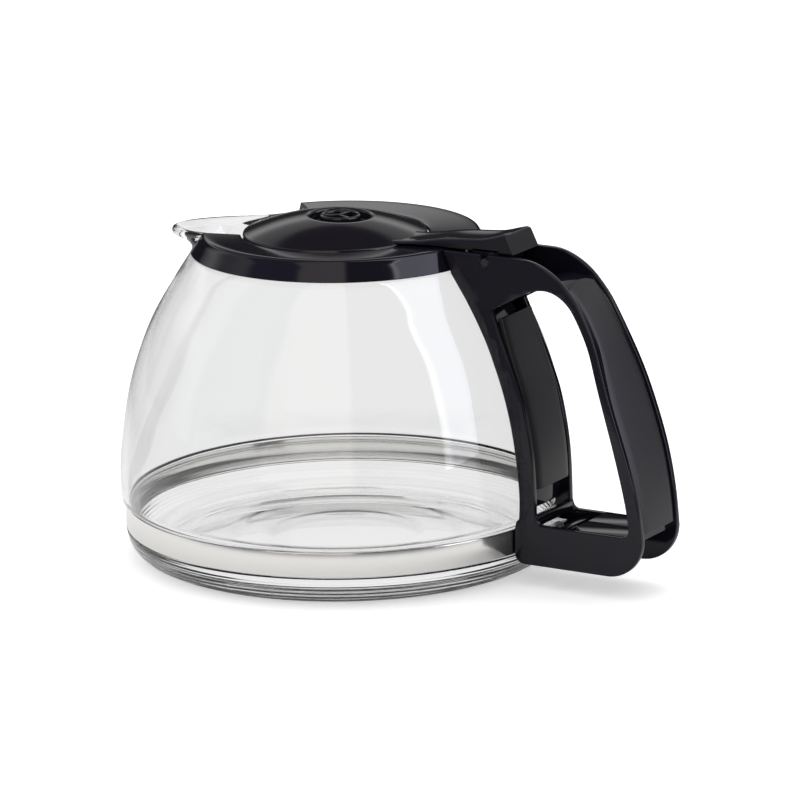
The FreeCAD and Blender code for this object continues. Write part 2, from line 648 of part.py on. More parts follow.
def make_lid_plate():
    """Underside of the lid, a shallow tray with a hole round the inlet and four drain holes."""
    up = V(0, 0, 1)
    low, high = PLATE_Z
    centre = V(DOME_CENTRE_X, 0, high)
    disc = drum(PLATE_R, high - low, V(DOME_CENTRE_X, 0, low), up)
    disc = disc.cut(drum(INLET_TUBE_R + 0.1, 10, V(0, 0, low - 2), up))
    ring = drum(PLATE_R, PLATE_RING_HEIGHT, centre, up)
    ring = ring.cut(drum(PLATE_R - PLATE_RING_WALL, PLATE_RING_HEIGHT, centre, up))
    for step in range(DRAIN_COUNT):
        angle = math.radians(45 + 360 / DRAIN_COUNT * step)
        spot = V(DRAIN_CIRCLE_R * math.cos(angle), DRAIN_CIRCLE_R * math.sin(angle), low - 2)
        disc = disc.cut(drum(DRAIN_HOLE_R, 10, spot, up))
    return disc.fuse(ring).removeSplitter()


def make_inlet():
    """Ring with spokes on a drip tube, where the brew enters the lid."""
    up = V(0, 0, 1)
    ring_low = INLET_TOP_Z - 2.4
    ring = drum(INLET_RING_R, 2.4, V(0, 0, ring_low), up)
    ring = ring.cut(drum(INLET_RING_R - INLET_RING_WALL, 2.4, V(0, 0, ring_low), up))
    tube_height = ring_low + 0.6 - INLET_LOW_Z
    tube = drum(INLET_TUBE_R, tube_height, V(0, 0, INLET_LOW_Z), up)
    flare = drum(INLET_RING_R - 0.6, 1.2, V(0, 0, ring_low - 0.6), up)
    bore = drum(INLET_TUBE_R - INLET_TUBE_WALL, 40, V(0, 0, INLET_LOW_Z - 5), up)
    inlet = ring.fuse(tube.fuse(flare).cut(bore))
    for step in range(SPOKE_COUNT):
        spoke = block((0, INLET_RING_R - 0.6), (-SPOKE_WIDTH / 2, SPOKE_WIDTH / 2),
                      (INLET_TOP_Z - SPOKE_HEIGHT, INLET_TOP_Z))
        spoke.rotate(V(0, 0, 0), up, 90 + 360.0 / SPOKE_COUNT * step)
        inlet = inlet.fuse(spoke)
    return inlet.removeSplitter()


def make_hinge_pin():
    """Plain pin through both side walls and the lid's boss."""
    start = V(PIN_X, -PIN_HALF_LENGTH, PIN_Z)
    return drum(PIN_R, 2 * PIN_HALF_LENGTH, start, V(0, 1, 0))


PIECES = {
    "glass_jug": make_jug,
    "base_band": make_band,
    "band_yoke": make_yoke,
    "clamp_washer": make_washer,
    "clamp_screw": make_clamp_screw,
    "rim_collar": make_collar,
    "collar_screws": make_collar_screws,
    "handle_frame": make_handle_frame,
    "grip_cover": make_grip_cover,
    "spine_cover": make_spine_cover,
    "hinge_pin": make_hinge_pin,
    "lid_cover": make_lid_cover,
    "lid_plate": make_lid_plate,
    "inlet_ring": make_inlet,
}

os.makedirs("parts", exist_ok=True)
for name, build in PIECES.items():
    shape = build()
    shape.exportStep("parts/" + name + ".step")
    box = shape.BoundBox
    print("%-14s solids %d valid %s volume %.0f  x %.1f..%.1f y %.1f..%.1f z %.1f..%.1f" % (
        name, len(shape.Solids), shape.isValid(), shape.Volume,
        box.XMin, box.XMax, box.YMin, box.YMax, box.ZMin, box.ZMax))
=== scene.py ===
"""Looks of a glass coffee jug: clear glass, a polished band, a glossy collar and handle, and a hinged lid.

Lengths in the classes are millimetres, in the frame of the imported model: +Z up, the jug's axis at the
origin, the handle along +X and the pouring lip along -X. Meshes are written in metres.
"""

import logging
import math
from dataclasses import dataclass, field
from enum import Enum

import bmesh
import bpy
import numpy as np
from mathutils import Matrix, Vector


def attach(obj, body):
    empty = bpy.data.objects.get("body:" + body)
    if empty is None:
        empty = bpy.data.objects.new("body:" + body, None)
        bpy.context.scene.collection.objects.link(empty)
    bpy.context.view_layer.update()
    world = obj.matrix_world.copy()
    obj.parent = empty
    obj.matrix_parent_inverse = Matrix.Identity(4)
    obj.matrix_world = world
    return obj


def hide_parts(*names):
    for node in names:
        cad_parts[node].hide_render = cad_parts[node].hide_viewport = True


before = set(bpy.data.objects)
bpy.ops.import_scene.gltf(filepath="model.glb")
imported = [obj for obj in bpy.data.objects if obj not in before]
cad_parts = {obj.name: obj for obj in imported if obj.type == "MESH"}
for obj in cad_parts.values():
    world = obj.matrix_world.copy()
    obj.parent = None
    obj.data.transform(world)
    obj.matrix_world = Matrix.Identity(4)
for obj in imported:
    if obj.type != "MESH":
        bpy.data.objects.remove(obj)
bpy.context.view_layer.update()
LOG = logging.getLogger("coffee_jug")
MM = 0.001

Point = tuple[float, float]


class Slot(Enum):
    """Material slots of the pieces."""

    GLASS = "clear_glass"
    STEEL = "polished_steel"
    ZINC = "zinc_steel"
    GLOSS = "gloss_black"
    LID_GLOSS = "gloss_black_lid"
    SATIN = "satin_black"
    PIN = "pin_black"


class Body(Enum):
    """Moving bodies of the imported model."""

    JUG = "jug"
    LID = "lid"


# ---- curves ------------------------------------------------------------------
def natural_spline(knots: list[float], values: list[float], at: np.ndarray) -> np.ndarray:
    """Natural cubic spline through values.

    Args:
        knots: rising positions of the values.
        values: one number for each knot.
        at: positions to read.

    Returns:
        The spline's values at those positions.
    """
    x = np.asarray(knots, float)
    y = np.asarray(values, float)
    span = np.diff(x)
    size = len(x)
    system = np.eye(size)
    right = np.zeros(size)
    for i in range(1, size - 1):
        system[i, i - 1 : i + 2] = (span[i - 1], 2 * (span[i - 1] + span[i]), span[i])
        right[i] = 6 * ((y[i + 1] - y[i]) / span[i] - (y[i] - y[i - 1]) / span[i - 1])
    bend = np.linalg.solve(system, right)
    i = np.clip(np.searchsorted(x, at) - 1, 0, size - 2)
    left = (x[i + 1] - at) / span[i]
    rest = 1 - left
    cubic = ((left**3 - left) * bend[i] + (rest**3 - rest) * bend[i + 1]) * span[i] ** 2 / 6
    return left * y[i] + rest * y[i + 1] + cubic


def smooth_path(points: list[Point], per_span: int) -> list[Point]:
    """A smooth plane curve through points.

    Args:
        points: the points that the curve passes.
        per_span: how many steps to make between two points.

    Returns:
        Points along the curve, both ends included.
    """
    index = list(range(len(points)))
    at = np.linspace(0, index[-1], index[-1] * per_span + 1)
    first = natural_spline(index, [p[0] for p in points], at)
    second = natural_spline(index, [p[1] for p in points], at)
    return [(float(a), float(b)) for a, b in zip(first, second)]


def arc_path(centre: Point, radius: float, start: float, end: float, steps: int) -> list[Point]:
    """Points on a circular arc.

    Args:
        centre: the arc's centre.
        radius: its radius.
        start: first angle in degrees.
        end: last angle in degrees.
        steps: how many straight steps to make.

    Returns:
        Points along the arc, both ends included.
    """
    angles = [math.radians(start + (end - start) * i / steps) for i in range(steps + 1)]
    return [(centre[0] + radius * math.cos(a), centre[1] + radius * math.sin(a)) for a in angles]


def beside(path: list[Point], distance: float) -> list[Point]:
    """The path moved sideways.

    Args:
        path: points of a plane path.
        distance: how far to move, to the right of the path's direction.

    Returns:
        One moved point for each point.
    """
    moved = []
    for i, here in enumerate(path):
        before = path[max(i - 1, 0)]
        after = path[min(i + 1, len(path) - 1)]
        run = Vector((after[0] - before[0], after[1] - before[1])).normalized()
        moved.append((here[0] + run.y * distance, here[1] - run.x * distance))
    return moved


# ---- meshes --------------------------------------------------------------------
class Draft:
    """Vertices and faces of one piece, collected in millimetres."""

    def __init__(self, name: str) -> None:
        """Starts an empty piece with its name."""
        self.name = name
        self.bm = bmesh.new()

    def grid(
        self, rows: list[list[Vector]], ring: bool = False, loop: bool = False, caps: bool = False
    ) -> None:
        """Joins rows of points with quads.

        Args:
            rows: equally long rows of points.
            ring: each row closes on itself.
            loop: the last row joins the first.
            caps: closed rows get a flat face at each end.
        """
        made = [[self.bm.verts.new(p) for p in row] for row in rows]
        width = len(made[0])
        pairs = list(zip(made, made[1:]))
        if loop:
            pairs.append((made[-1], made[0]))
        for low, high in pairs:
            for i in range(width if ring else width - 1):
                j = (i + 1) % width
                self.bm.faces.new((low[i], low[j], high[j], high[i]))
        if caps:
            self.bm.faces.new(list(reversed(made[0])))
            self.bm.faces.new(made[-1])

    def block(self, low: tuple, high: tuple, radius: float = 0.3) -> None:
        """Adds a box with rounded edges between two corners."""
        size = Vector(high) - Vector(low)
        centre = (Vector(high) + Vector(low)) / 2
        spread = Matrix.Translation(centre) @ Matrix.Diagonal((*size, 1.0))
        made = bmesh.ops.create_cube(self.bm, size=1.0, matrix=spread)
        edges = {edge for vert in made["verts"] for edge in vert.link_edges}
        bmesh.ops.bevel(
            self.bm, geom=list(edges), offset=radius, segments=3, profile=0.5, affect="EDGES",
            clamp_overlap=True)

    def prism(self, outline: list[Point], low_y: float, high_y: float) -> None:
        """Adds a side-view outline made solid between two y values."""
        rows = [[Vector((x, y, z)) for x, z in outline] for y in (low_y, high_y)]
        self.grid(rows, ring=True, caps=True)

    def take(self, mesh: bpy.types.Mesh) -> None:
        """Adds a mesh that is already in millimetres, then frees it."""
        self.bm.from_mesh(mesh)
        bpy.data.meshes.remove(mesh)

    def finish(self, material: bpy.types.Material, sharp_deg: float = 32.0) -> bpy.types.Object:
        """Turns the draft into an object in metres.

        Args:
            material: finish of the whole piece.
            sharp_deg: edges that turn by more than this stay sharp.

        Returns:
            The new object, linked to the scene, at the origin.
        """
        bmesh.ops.remove_doubles(self.bm, verts=self.bm.verts, dist=1e-4)
        bmesh.ops.dissolve_degenerate(self.bm, edges=self.bm.edges, dist=1e-5)
        bmesh.ops.recalc_face_normals(self.bm, faces=self.bm.faces)
        bmesh.ops.scale(self.bm, vec=(MM, MM, MM), verts=self.bm.verts)
        mesh = bpy.data.meshes.new(self.name)
        self.bm.to_mesh(mesh)
        self.bm.free()
        mesh.shade_smooth()
        mesh.set_sharp_from_angle(angle=math.radians(sharp_deg))
        mesh.materials.append(material)
        piece = bpy.data.objects.new(self.name, mesh)
        bpy.context.scene.collection.objects.link(piece)
        return piece


def turned_rows(profile: list[Point], angles: list[float]) -> list[list[Vector]]:
    """A (radius, height) profile at each angle in degrees."""
    rows = []
    for degrees in angles:
        turn = math.radians(degrees)
        rows.append([Vector((r * math.cos(turn), r * math.sin(turn), z)) for r, z in profile])
    return rows


def plane_curve(name: str, loops: list[list[Vector]], dimensions: str) -> bpy.types.Curve:
    """A curve made of straight runs.

    Args:
        name: the curve's name.
        loops: points of each run; in a 2D curve each run closes on itself.
        dimensions: "2D" or "3D".

    Returns:
        The curve.
    """
    curve = bpy.data.curves.new(name, "CURVE")
    curve.dimensions = dimensions
    for loop in loops:
        spline = curve.splines.new("POLY")
        spline.points.add(len(loop) - 1)
        for point, spot in zip(spline.points, loop):
            point.co = (*spot, 1.0)
        spline.use_cyclic_u = dimensions == "2D"
    return curve


def soften(piece: bpy.types.Object, width: float, angle_deg: float = 35.0) -> None:
    """Adds a live bevel, in millimetres, to a piece's sharper edges."""
    bevel = piece.modifiers.new("edge_rounding", "BEVEL")
    bevel.width = width * MM
    bevel.segments = 3
    bevel.limit_method = "ANGLE"
    bevel.angle_limit = math.radians(angle_deg)
    bevel.harden_normals = True


def place(piece: bpy.types.Object, body: Body, slot: Slot, *nodes: str) -> None:
    """Rides a piece on its body and hides the CAD nodes that it stands for.

    Args:
        piece: the finished object.
        body: the moving body that carries it.
        slot: its material slot; not used.
        nodes: CAD nodes that it replaces.
    """
    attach(piece, body.value)
    if nodes:
        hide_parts(*nodes)
    LOG.info("%s rides on %s, %d faces", piece.name, body.value, len(piece.data.polygons))


# ---- shader groups ---------------------------------------------------------------
class Tree:
    """Short calls for building a node tree."""

    def __init__(self, tree: bpy.types.NodeTree) -> None:
        """Wraps a node tree."""
        self.tree = tree

    def node(self, kind: str, **settings: object) -> bpy.types.Node:
        """Adds a node and sets its properties."""
        made = self.tree.nodes.new(kind)
        for key, value in settings.items():
            setattr(made, key, value)
        return made

    def link(self, source: bpy.types.NodeSocket, target: bpy.types.NodeSocket) -> None:
        """Joins two sockets."""
        self.tree.links.new(source, target)

    def maths(
        self, operation: str, first: object, second: object = 0.0, third: object = 0.0
    ) -> bpy.types.NodeSocket:
        """A Math node on numbers or sockets; returns its result."""
        made = self.node("ShaderNodeMath", operation=operation)
        for socket, value in zip(made.inputs, (first, second, third)):
            if isinstance(value, bpy.types.NodeSocket):
                self.link(value, socket)
            else:
                socket.default_value = value
        return made.outputs[0]


    def mix(self, share: bpy.types.NodeSocket, first: object, second: object) -> bpy.types.NodeSocket:
        """Mixes two colours, each a socket or an (r, g, b), by a share; returns the result."""
        made = self.node("ShaderNodeMix", data_type="RGBA")
        self.link(share, made.inputs["Factor"])
        for label, value in (("A", first), ("B", second)):
            if isinstance(value, bpy.types.NodeSocket):
                self.link(value, made.inputs[label])
            else:
                made.inputs[label].default_value = (*value, 1.0)
        return made.outputs["Result"]

    def ramp(self, share: bpy.types.NodeSocket, stops: list) -> bpy.types.NodeSocket:
        """Colours at rising places between 0 and 1, given as (place, (r, g, b))."""
        made = self.node("ShaderNodeValToRGB")
        elements = made.color_ramp.elements
        while len(elements) < len(stops):
            elements.new(0.5)
        for element, (spot, colour) in zip(elements, stops):
            element.position = spot
            element.color = (*colour, 1.0)
        self.link(share, made.inputs["Fac"])
        return made.outputs[0]

    def smooth_step(self, value: bpy.types.NodeSocket, start: float, end: float) -> bpy.types.NodeSocket:
        """Rises smoothly from 0 to 1 while a value goes from start to end."""
        made = self.node("ShaderNodeMapRange", interpolation_type="SMOOTHSTEP")
        made.inputs["From Min"].default_value = start
        made.inputs["From Max"].default_value = end
        self.link(value, made.inputs["Value"])
        return made.outputs[0]

    def along(self, vector: bpy.types.NodeSocket, axis: tuple) -> bpy.types.NodeSocket:
        """Share of a vector along an axis."""
        made = self.node("ShaderNodeVectorMath", operation="DOT_PRODUCT")
        made.inputs[1].default_value = axis
        self.link(vector, made.inputs[0])
        return made.outputs["Value"]


def set_inputs(node: bpy.types.Node, values: dict[str, object]) -> None:
    """Sets the constant values of a node's inputs by name."""
    for label, value in values.items():
        node.inputs[label].default_value = value


def new_group(
    name: str, inputs: dict[str, float], outputs: tuple[str, ...]
) -> tuple[Tree, bpy.types.Node, bpy.types.Node]:
    """Starts a shader node group.

    Args:
        name: the group's name.
        inputs: number inputs with their usual values.
        outputs: names of the number outputs.

    Returns:
        The tree, its input node and its output node.
    """
    group = bpy.data.node_groups.new(name, "ShaderNodeTree")
    for label, value in inputs.items():
        socket = group.interface.new_socket(name=label, in_out="INPUT", socket_type="NodeSocketFloat")
        socket.default_value = value
    for label in outputs:
        group.interface.new_socket(name=label, in_out="OUTPUT", socket_type="NodeSocketFloat")
    tree = Tree(group)
    return tree, tree.node("NodeGroupInput"), tree.node("NodeGroupOutput")


def make_moulding_group() -> bpy.types.NodeTree:
    """Moulded surface: fine grain, slow flow waves and handling smears, as height and roughness."""
    inputs = {"Grain scale": 2500.0, "Grain depth": 0.3, "Flow depth": 0.3, "Roughness": 0.2, "Smear": 0.05}
    tree, given, result = new_group("moulding", inputs, ("Height", "Roughness"))
    coords = tree.node("ShaderNodeTexCoord")
    grain = tree.node("ShaderNodeTexNoise")
    grain.inputs["Detail"].default_value = 3.0
    tree.link(coords.outputs["Object"], grain.inputs["Vector"])
    tree.link(given.outputs["Grain scale"], grain.inputs["Scale"])
    flow = tree.node("ShaderNodeTexNoise")
    flow.inputs["Scale"].default_value = 55.0
    flow.inputs["Detail"].default_value = 1.0
    tree.link(coords.outputs["Object"], flow.inputs["Vector"])
    smear = tree.node("ShaderNodeTexNoise")
    set_inputs(smear, {
        "Scale": 38.0,
        "Detail": 5.0,
        "Distortion": 1.2,
    })
    tree.link(coords.outputs["Object"], smear.inputs["Vector"])
    grain_height = tree.maths("MULTIPLY", grain.outputs["Fac"], given.outputs["Grain depth"])
    height = tree.maths("MULTIPLY_ADD", flow.outputs["Fac"], given.outputs["Flow depth"], grain_height)
    smear_mid = tree.maths("SUBTRACT", smear.outputs["Fac"], 0.5)
    rough = tree.maths("MULTIPLY_ADD", smear_mid, given.outputs["Smear"], given.outputs["Roughness"])
    tree.link(height, result.inputs["Height"])
    tree.link(rough, result.inputs["Roughness"])
    return tree.tree


def make_scratch_group() -> bpy.types.NodeTree:
    """Fine wiping lines that run round the axis, as height and a mask."""
    inputs = {"Line scale": 900.0, "Stretch": 0.02, "Strength": 0.5}
    tree, given, result = new_group("wiping_lines", inputs, ("Height", "Mask"))
    coords = tree.node("ShaderNodeTexCoord")
    parts = tree.node("ShaderNodeSeparateXYZ")
    tree.link(coords.outputs["Object"], parts.inputs[0])
    angle = tree.maths("ARCTAN2", parts.outputs["Y"], parts.outputs["X"])
    along = tree.maths("MULTIPLY", angle, given.outputs["Stretch"])
    joined = tree.node("ShaderNodeCombineXYZ")
    tree.link(along, joined.inputs["X"])
    tree.link(parts.outputs["Z"], joined.inputs["Y"])
    lines = tree.node("ShaderNodeTexNoise")
    lines.inputs["Detail"].default_value = 4.0
    tree.link(joined.outputs[0], lines.inputs["Vector"])
    tree.link(given.outputs["Line scale"], lines.inputs["Scale"])
    strength = tree.maths("MULTIPLY", lines.outputs["Fac"], given.outputs["Strength"])
    tree.link(strength, result.inputs["Height"])
    tree.link(lines.outputs["Fac"], result.inputs["Mask"])
    return tree.tree


MOULDING = make_moulding_group()
WIPING = make_scratch_group()


def start_material(name: str) -> tuple[bpy.types.Material, Tree, bpy.types.Node]:
    """An empty material with a Principled BSDF joined to its output."""
    material = bpy.data.materials.new(name)
    material.use_nodes = True
    material.node_tree.nodes.clear()
    tree = Tree(material.node_tree)
    shader = tree.node("ShaderNodeBsdfPrincipled")
    output = tree.node("ShaderNodeOutputMaterial")
    tree.link(shader.outputs[0], output.inputs["Surface"])
    return material, tree, shader


def add_bump(
    tree: Tree, shader: bpy.types.Node, height: bpy.types.NodeSocket, strength: float, distance: float
) -> None:
    """Feeds a height through a Bump node into the shader's normal.

    Args:
        tree: the material's tree.
        shader: its Principled BSDF.
        height: the height to show.
        strength: share of the bump, 0 to 1.
        distance: depth of the height in millimetres.
    """
    bump = tree.node("ShaderNodeBump")
    bump.inputs["Strength"].default_value = strength
    bump.inputs["Distance"].default_value = distance * MM
    tree.link(height, bump.inputs["Height"])
    tree.link(bump.outputs[0], shader.inputs["Normal"])


@dataclass(frozen=True)
class PlasticFinish:
    """A moulded plastic, from glossy to satin.

    Args:
        name: the material's name.
        colour: linear base colour.
        roughness: mean roughness.
        specular: the shader's specular level.
        grain_scale: grain frequency for each metre.
        grain_depth: share of grain in the height.
        flow_depth: share of slow waves in the height.
        smear: how far handling changes the roughness.
        bump: depth of the height in millimetres.
    """

    name: str
    colour: tuple[float, float, float]
    roughness: float
    specular: float = 0.5
    grain_scale: float = 2500.0
    grain_depth: float = 0.2
    flow_depth: float = 0.3
    smear: float = 0.05
    bump: float = 0.02

    def build(self) -> bpy.types.Material:
        """Builds the material."""
        material, tree, shader = start_material(self.name)
        group = tree.node("ShaderNodeGroup", node_tree=MOULDING)
        set_inputs(group, {
            "Grain scale": self.grain_scale,
            "Grain depth": self.grain_depth,
            "Flow depth": self.flow_depth,
            "Roughness": self.roughness,
            "Smear": self.smear,
        })
        shader.inputs["Base Color"].default_value = (*self.colour, 1.0)
        shader.inputs["Specular IOR Level"].default_value = self.specular
        tree.link(group.outputs["Roughness"], shader.inputs["Roughness"])
        add_bump(tree, shader, group.outputs["Height"], 0.6, self.bump)
        return material


@dataclass(frozen=True)
class SteelFinish:
    """A bare or plated steel with fine wiping lines.

    Args:
        name: the material's name.
        colour: linear reflectance.
        roughness: lowest roughness.
        line_scale: frequency of the wiping lines.
        bump: depth of the lines in millimetres.
    """

    name: str
    colour: tuple[float, float, float]
    roughness: float
    line_scale: float = 900.0
    bump: float = 0.01

    def build(self) -> bpy.types.Material:
        """Builds the material."""
        material, tree, shader = start_material(self.name)
        lines = tree.node("ShaderNodeGroup", node_tree=WIPING)
        lines.inputs["Line scale"].default_value = self.line_scale
        shader.inputs["Metallic"].default_value = 1.0
        shader.inputs["Base Color"].default_value = (*self.colour, 1.0)
        rough = tree.maths("MULTIPLY_ADD", lines.outputs["Mask"], 0.12, self.roughness)
        tree.link(rough, shader.inputs["Roughness"])
        add_bump(tree, shader, lines.outputs["Height"], 0.5, self.bump)
        return material


@dataclass(frozen=True)
class GlassFinish:
    """Clear pressed glass with a faint drawn waviness.

    Args:
        name: the material's name.
        colour: linear transmission tint.
        ior: index of refraction.
        wave: depth of the waviness in millimetres.
    """

    name: str
    colour: tuple[float, float, float]
    ior: float = 1.47
    wave: float = 0.05

    def build(self) -> bpy.types.Material:
        """Builds the material."""
        material, tree, shader = start_material(self.name)
        set_inputs(shader, {
            "Base Color": (*self.colour, 1.0),
            "Roughness": 0.0,
            "IOR": self.ior,
            "Transmission Weight": 1.0,
        })
        coords = tree.node("ShaderNodeTexCoord")
        squeeze = tree.node("ShaderNodeMapping")
        squeeze.inputs["Scale"].default_value = (1.0, 1.0, 3.0)
        waves = tree.node("ShaderNodeTexNoise")
        waves.inputs["Scale"].default_value = 16.0
        waves.inputs["Detail"].default_value = 1.0
        tree.link(coords.outputs["Object"], squeeze.inputs["Vector"])
        tree.link(squeeze.outputs[0], waves.inputs["Vector"])
        add_bump(tree, shader, waves.outputs["Fac"], 0.25, self.wave)
        return material


# ---- glass -----------------------------------------------------------------------
@dataclass
class GlassJug:
    """The blown jug with its foot rings, floor rings, rolled rim and pouring lip."""

    shoulder: list[Point] = field(default_factory=lambda: [
        (73.3, 20.0), (73.5, 30.0), (72.5, 40.0), (71.0, 50.0), (68.8, 60.0),
        (65.5, 70.0), (61.2, 80.0), (55.3, 90.0)])
    wall: float = 2.2
    groove_r: float = 71.3
    rest_r: float = 61.5
    floor_z: float = 5.0
    lip_half_deg: float = 28.0
    segments: int = 288

    def rim(self) -> list[Point]:
        """Rim section away from the lip, from the outer shoulder over to the inner one."""
        return [
            (55.3, 90.0), (52.2, 95.0), (48.4, 100.0), (45.2, 102.4), (42.0, 103.9), (40.9, 104.6),
            (40.3, 105.0), (39.6, 105.0),
            (39.0, 104.5), (39.4, 103.0), (42.4, 101.0), (46.3, 99.4), (50.0, 95.0), (53.1, 90.0)]

    def lip(self) -> list[Point]:
        """Rim section through the tip of the pouring lip, with as many points as the rim."""
        return [
            (55.3, 90.0), (53.6, 94.0), (54.0, 96.6), (57.0, 98.4), (60.4, 99.1), (62.9, 99.9),
            (64.0, 101.6), (63.0, 103.0),
            (61.3, 102.7), (58.2, 101.5), (54.4, 100.3), (51.6, 97.8), (51.0, 94.0), (53.1, 90.0)]

    def foot(self) -> list[Point]:
        """Outer foot from the rest face up to the band's groove, with fine pressed rings."""
        path = smooth_path([(self.rest_r, 0.0), (65.6, 0.9), (68.9, 3.2), (71.0, 6.2), (71.9, 9.4)], 12)
        ringed = []
        for i, (r, z) in enumerate(path):
            fade = math.sin(math.pi * i / (len(path) - 1))
            ringed.append((r + 0.11 * fade * math.sin(z * 2 * math.pi / 1.5), z))
        return ringed

    def floor(self) -> list[Point]:
        """Inner floor from the wall to the axis, with three shallow rings."""
        path = [(r, self.floor_z) for r in np.linspace(59.0, 0.0, 60)]
        steps = ((51.0, 0.16), (38.0, 0.12), (25.0, 0.12))
        shaped = []
        for r, z in path:
            drop = sum(depth / (1 + math.exp((r - edge) * 1.6)) for edge, depth in steps)
            shaped.append((float(r), z + 0.6 - drop))
        return shaped

    def heel(self) -> list[Point]:
        """Inner heel between wall and floor."""
        return smooth_path([(71.1, 20.0), (70.0, 15.0), (68.0, 10.4), (64.6, 7.2), (59.0, 5.6)], 6)[1:-1]

    def base(self) -> list[Point]:
        """Underside from the axis to the rest face, pushed up a little in the middle."""
        hollow = smooth_path([(0.0, 0.9), (20.0, 0.85), (40.0, 0.6), (52.0, 0.25), (58.5, 0.02)], 4)
        return hollow + [(60.2, 0.0)]

    def section(self, lip_share: float) -> list[Point]:
        """The whole closed section.

        Args:
            lip_share: 0 away from the lip, 1 at its tip.

        Returns:
            (radius, height) points from the base's middle, round the rim, to the floor's middle.
        """
        rim = smooth_path(self.rim(), 5)
        lip = smooth_path(self.lip(), 5)
        top = [(a + (c - a) * lip_share, b + (d - b) * lip_share) for (a, b), (c, d) in zip(rim, lip)]
        outer = smooth_path(self.shoulder, 5)
        inner = [(r - self.wall, z) for r, z in reversed(outer)]
        groove = [(72.0, 9.7), (71.8, 10.0)] + [(self.groove_r, z) for z in (10.2, 14.5, 18.8)]
        swell = [(self.groove_r + 0.3, 19.1), (72.6, 19.3)]
        lower = self.base() + self.foot() + groove + swell
        return lower + outer[:-1] + top + inner[1:] + self.heel() + self.floor()

    def build(self, material: bpy.types.Material) -> bpy.types.Object:
        """Builds the jug as one closed shell."""
        rows = []
        for step in range(self.segments):
            degrees = 360.0 * step / self.segments
            off_tip = abs(180.0 - degrees)
            share = 0.0
            if off_tip < self.lip_half_deg:
                share = math.cos(math.pi / 2 * off_tip / self.lip_half_deg) ** 2
            rows += turned_rows(self.section(share), [degrees])
        draft = Draft("jug_glass")
        draft.grid(rows, loop=True)
        piece = draft.finish(material, sharp_deg=60.0)
        place(piece, Body.JUG, Slot.GLASS, "glass_jug")
        return piece


# ---- band ------------------------------------------------------------------------
@dataclass
class BaseBand:
    """Polished strap round the foot, swept along its own path by Geometry Nodes."""

    radius: float = 71.7
    thickness: float = 0.6
    low_z: float = 10.4
    high_z: float = 18.6
    tab_y: float = 6.5
    tab_end_x: float = 80.1
    hook_y: float = 3.4
    steps: int = 240

    def path(self) -> list[Vector]:
        """Middle line of the strap, from one hook round to the other."""
        start = math.degrees(math.asin(self.tab_y / self.radius))
        middle_z = (self.low_z + self.high_z) / 2
        ring = arc_path((0.0, 0.0), self.radius, start, 360.0 - start, self.steps)
        first = [(self.tab_end_x, self.hook_y), (self.tab_end_x, self.tab_y - 0.7)]
        first += [(self.tab_end_x - 0.2, self.tab_y - 0.2), (self.tab_end_x - 0.7, self.tab_y)]
        last = [(x, -y) for x, y in reversed(first)]
        return [Vector((x, y, middle_z)) * MM for x, y in first + ring + last]

    def tree(self, material: bpy.types.Material) -> bpy.types.NodeTree:
        """Node tree that sweeps a rounded flat section along the strap's path."""
        group = bpy.data.node_groups.new("strap_sweep", "GeometryNodeTree")
        group.interface.new_socket(name="Path", in_out="INPUT", socket_type="NodeSocketGeometry")
        for label in ("Thickness", "Height", "Edge radius"):
            group.interface.new_socket(name=label, in_out="INPUT", socket_type="NodeSocketFloat")
        group.interface.new_socket(name="Strap", in_out="OUTPUT", socket_type="NodeSocketGeometry")
        tree = Tree(group)
        given = tree.node("NodeGroupInput")
        result = tree.node("NodeGroupOutput")
        upright = tree.node("GeometryNodeSetCurveNormal", mode="Z_UP")
        section = tree.node("GeometryNodeCurvePrimitiveQuadrilateral")
        rounded = tree.node("GeometryNodeFilletCurve", mode="POLY")
        rounded.inputs["Count"].default_value = 3
        sweep = tree.node("GeometryNodeCurveToMesh")
        sweep.inputs["Fill Caps"].default_value = True
        realize = tree.node("GeometryNodeRealizeInstances")
        dress = tree.node("GeometryNodeSetMaterial")
        dress.inputs["Material"].default_value = material
        tree.link(given.outputs["Path"], upright.inputs[0])
        tree.link(given.outputs["Thickness"], section.inputs["Width"])
        tree.link(given.outputs["Height"], section.inputs["Height"])
        tree.link(section.outputs[0], rounded.inputs["Curve"])
        tree.link(given.outputs["Edge radius"], rounded.inputs["Radius"])
        tree.link(upright.outputs[0], sweep.inputs["Curve"])
        tree.link(rounded.outputs[0], sweep.inputs["Profile Curve"])
        tree.link(sweep.outputs[0], realize.inputs[0])
        tree.link(realize.outputs[0], dress.inputs["Geometry"])
        tree.link(dress.outputs[0], result.inputs[0])
        return group

    def build(self, material: bpy.types.Material) -> bpy.types.Object:
        """Sweeps the strap and keeps the result as a plain mesh."""
        curve = plane_curve("strap_path", [self.path()], "3D")
        sizes = {
            "Thickness": self.thickness * MM,
            "Height": (self.high_z - self.low_z) * MM,
            "Edge radius": 0.22 * MM,
        }
        piece = baked_nodes("band_steel", curve, self.tree(material), sizes, material)
        place(piece, Body.JUG, Slot.STEEL, "base_band")
        return piece


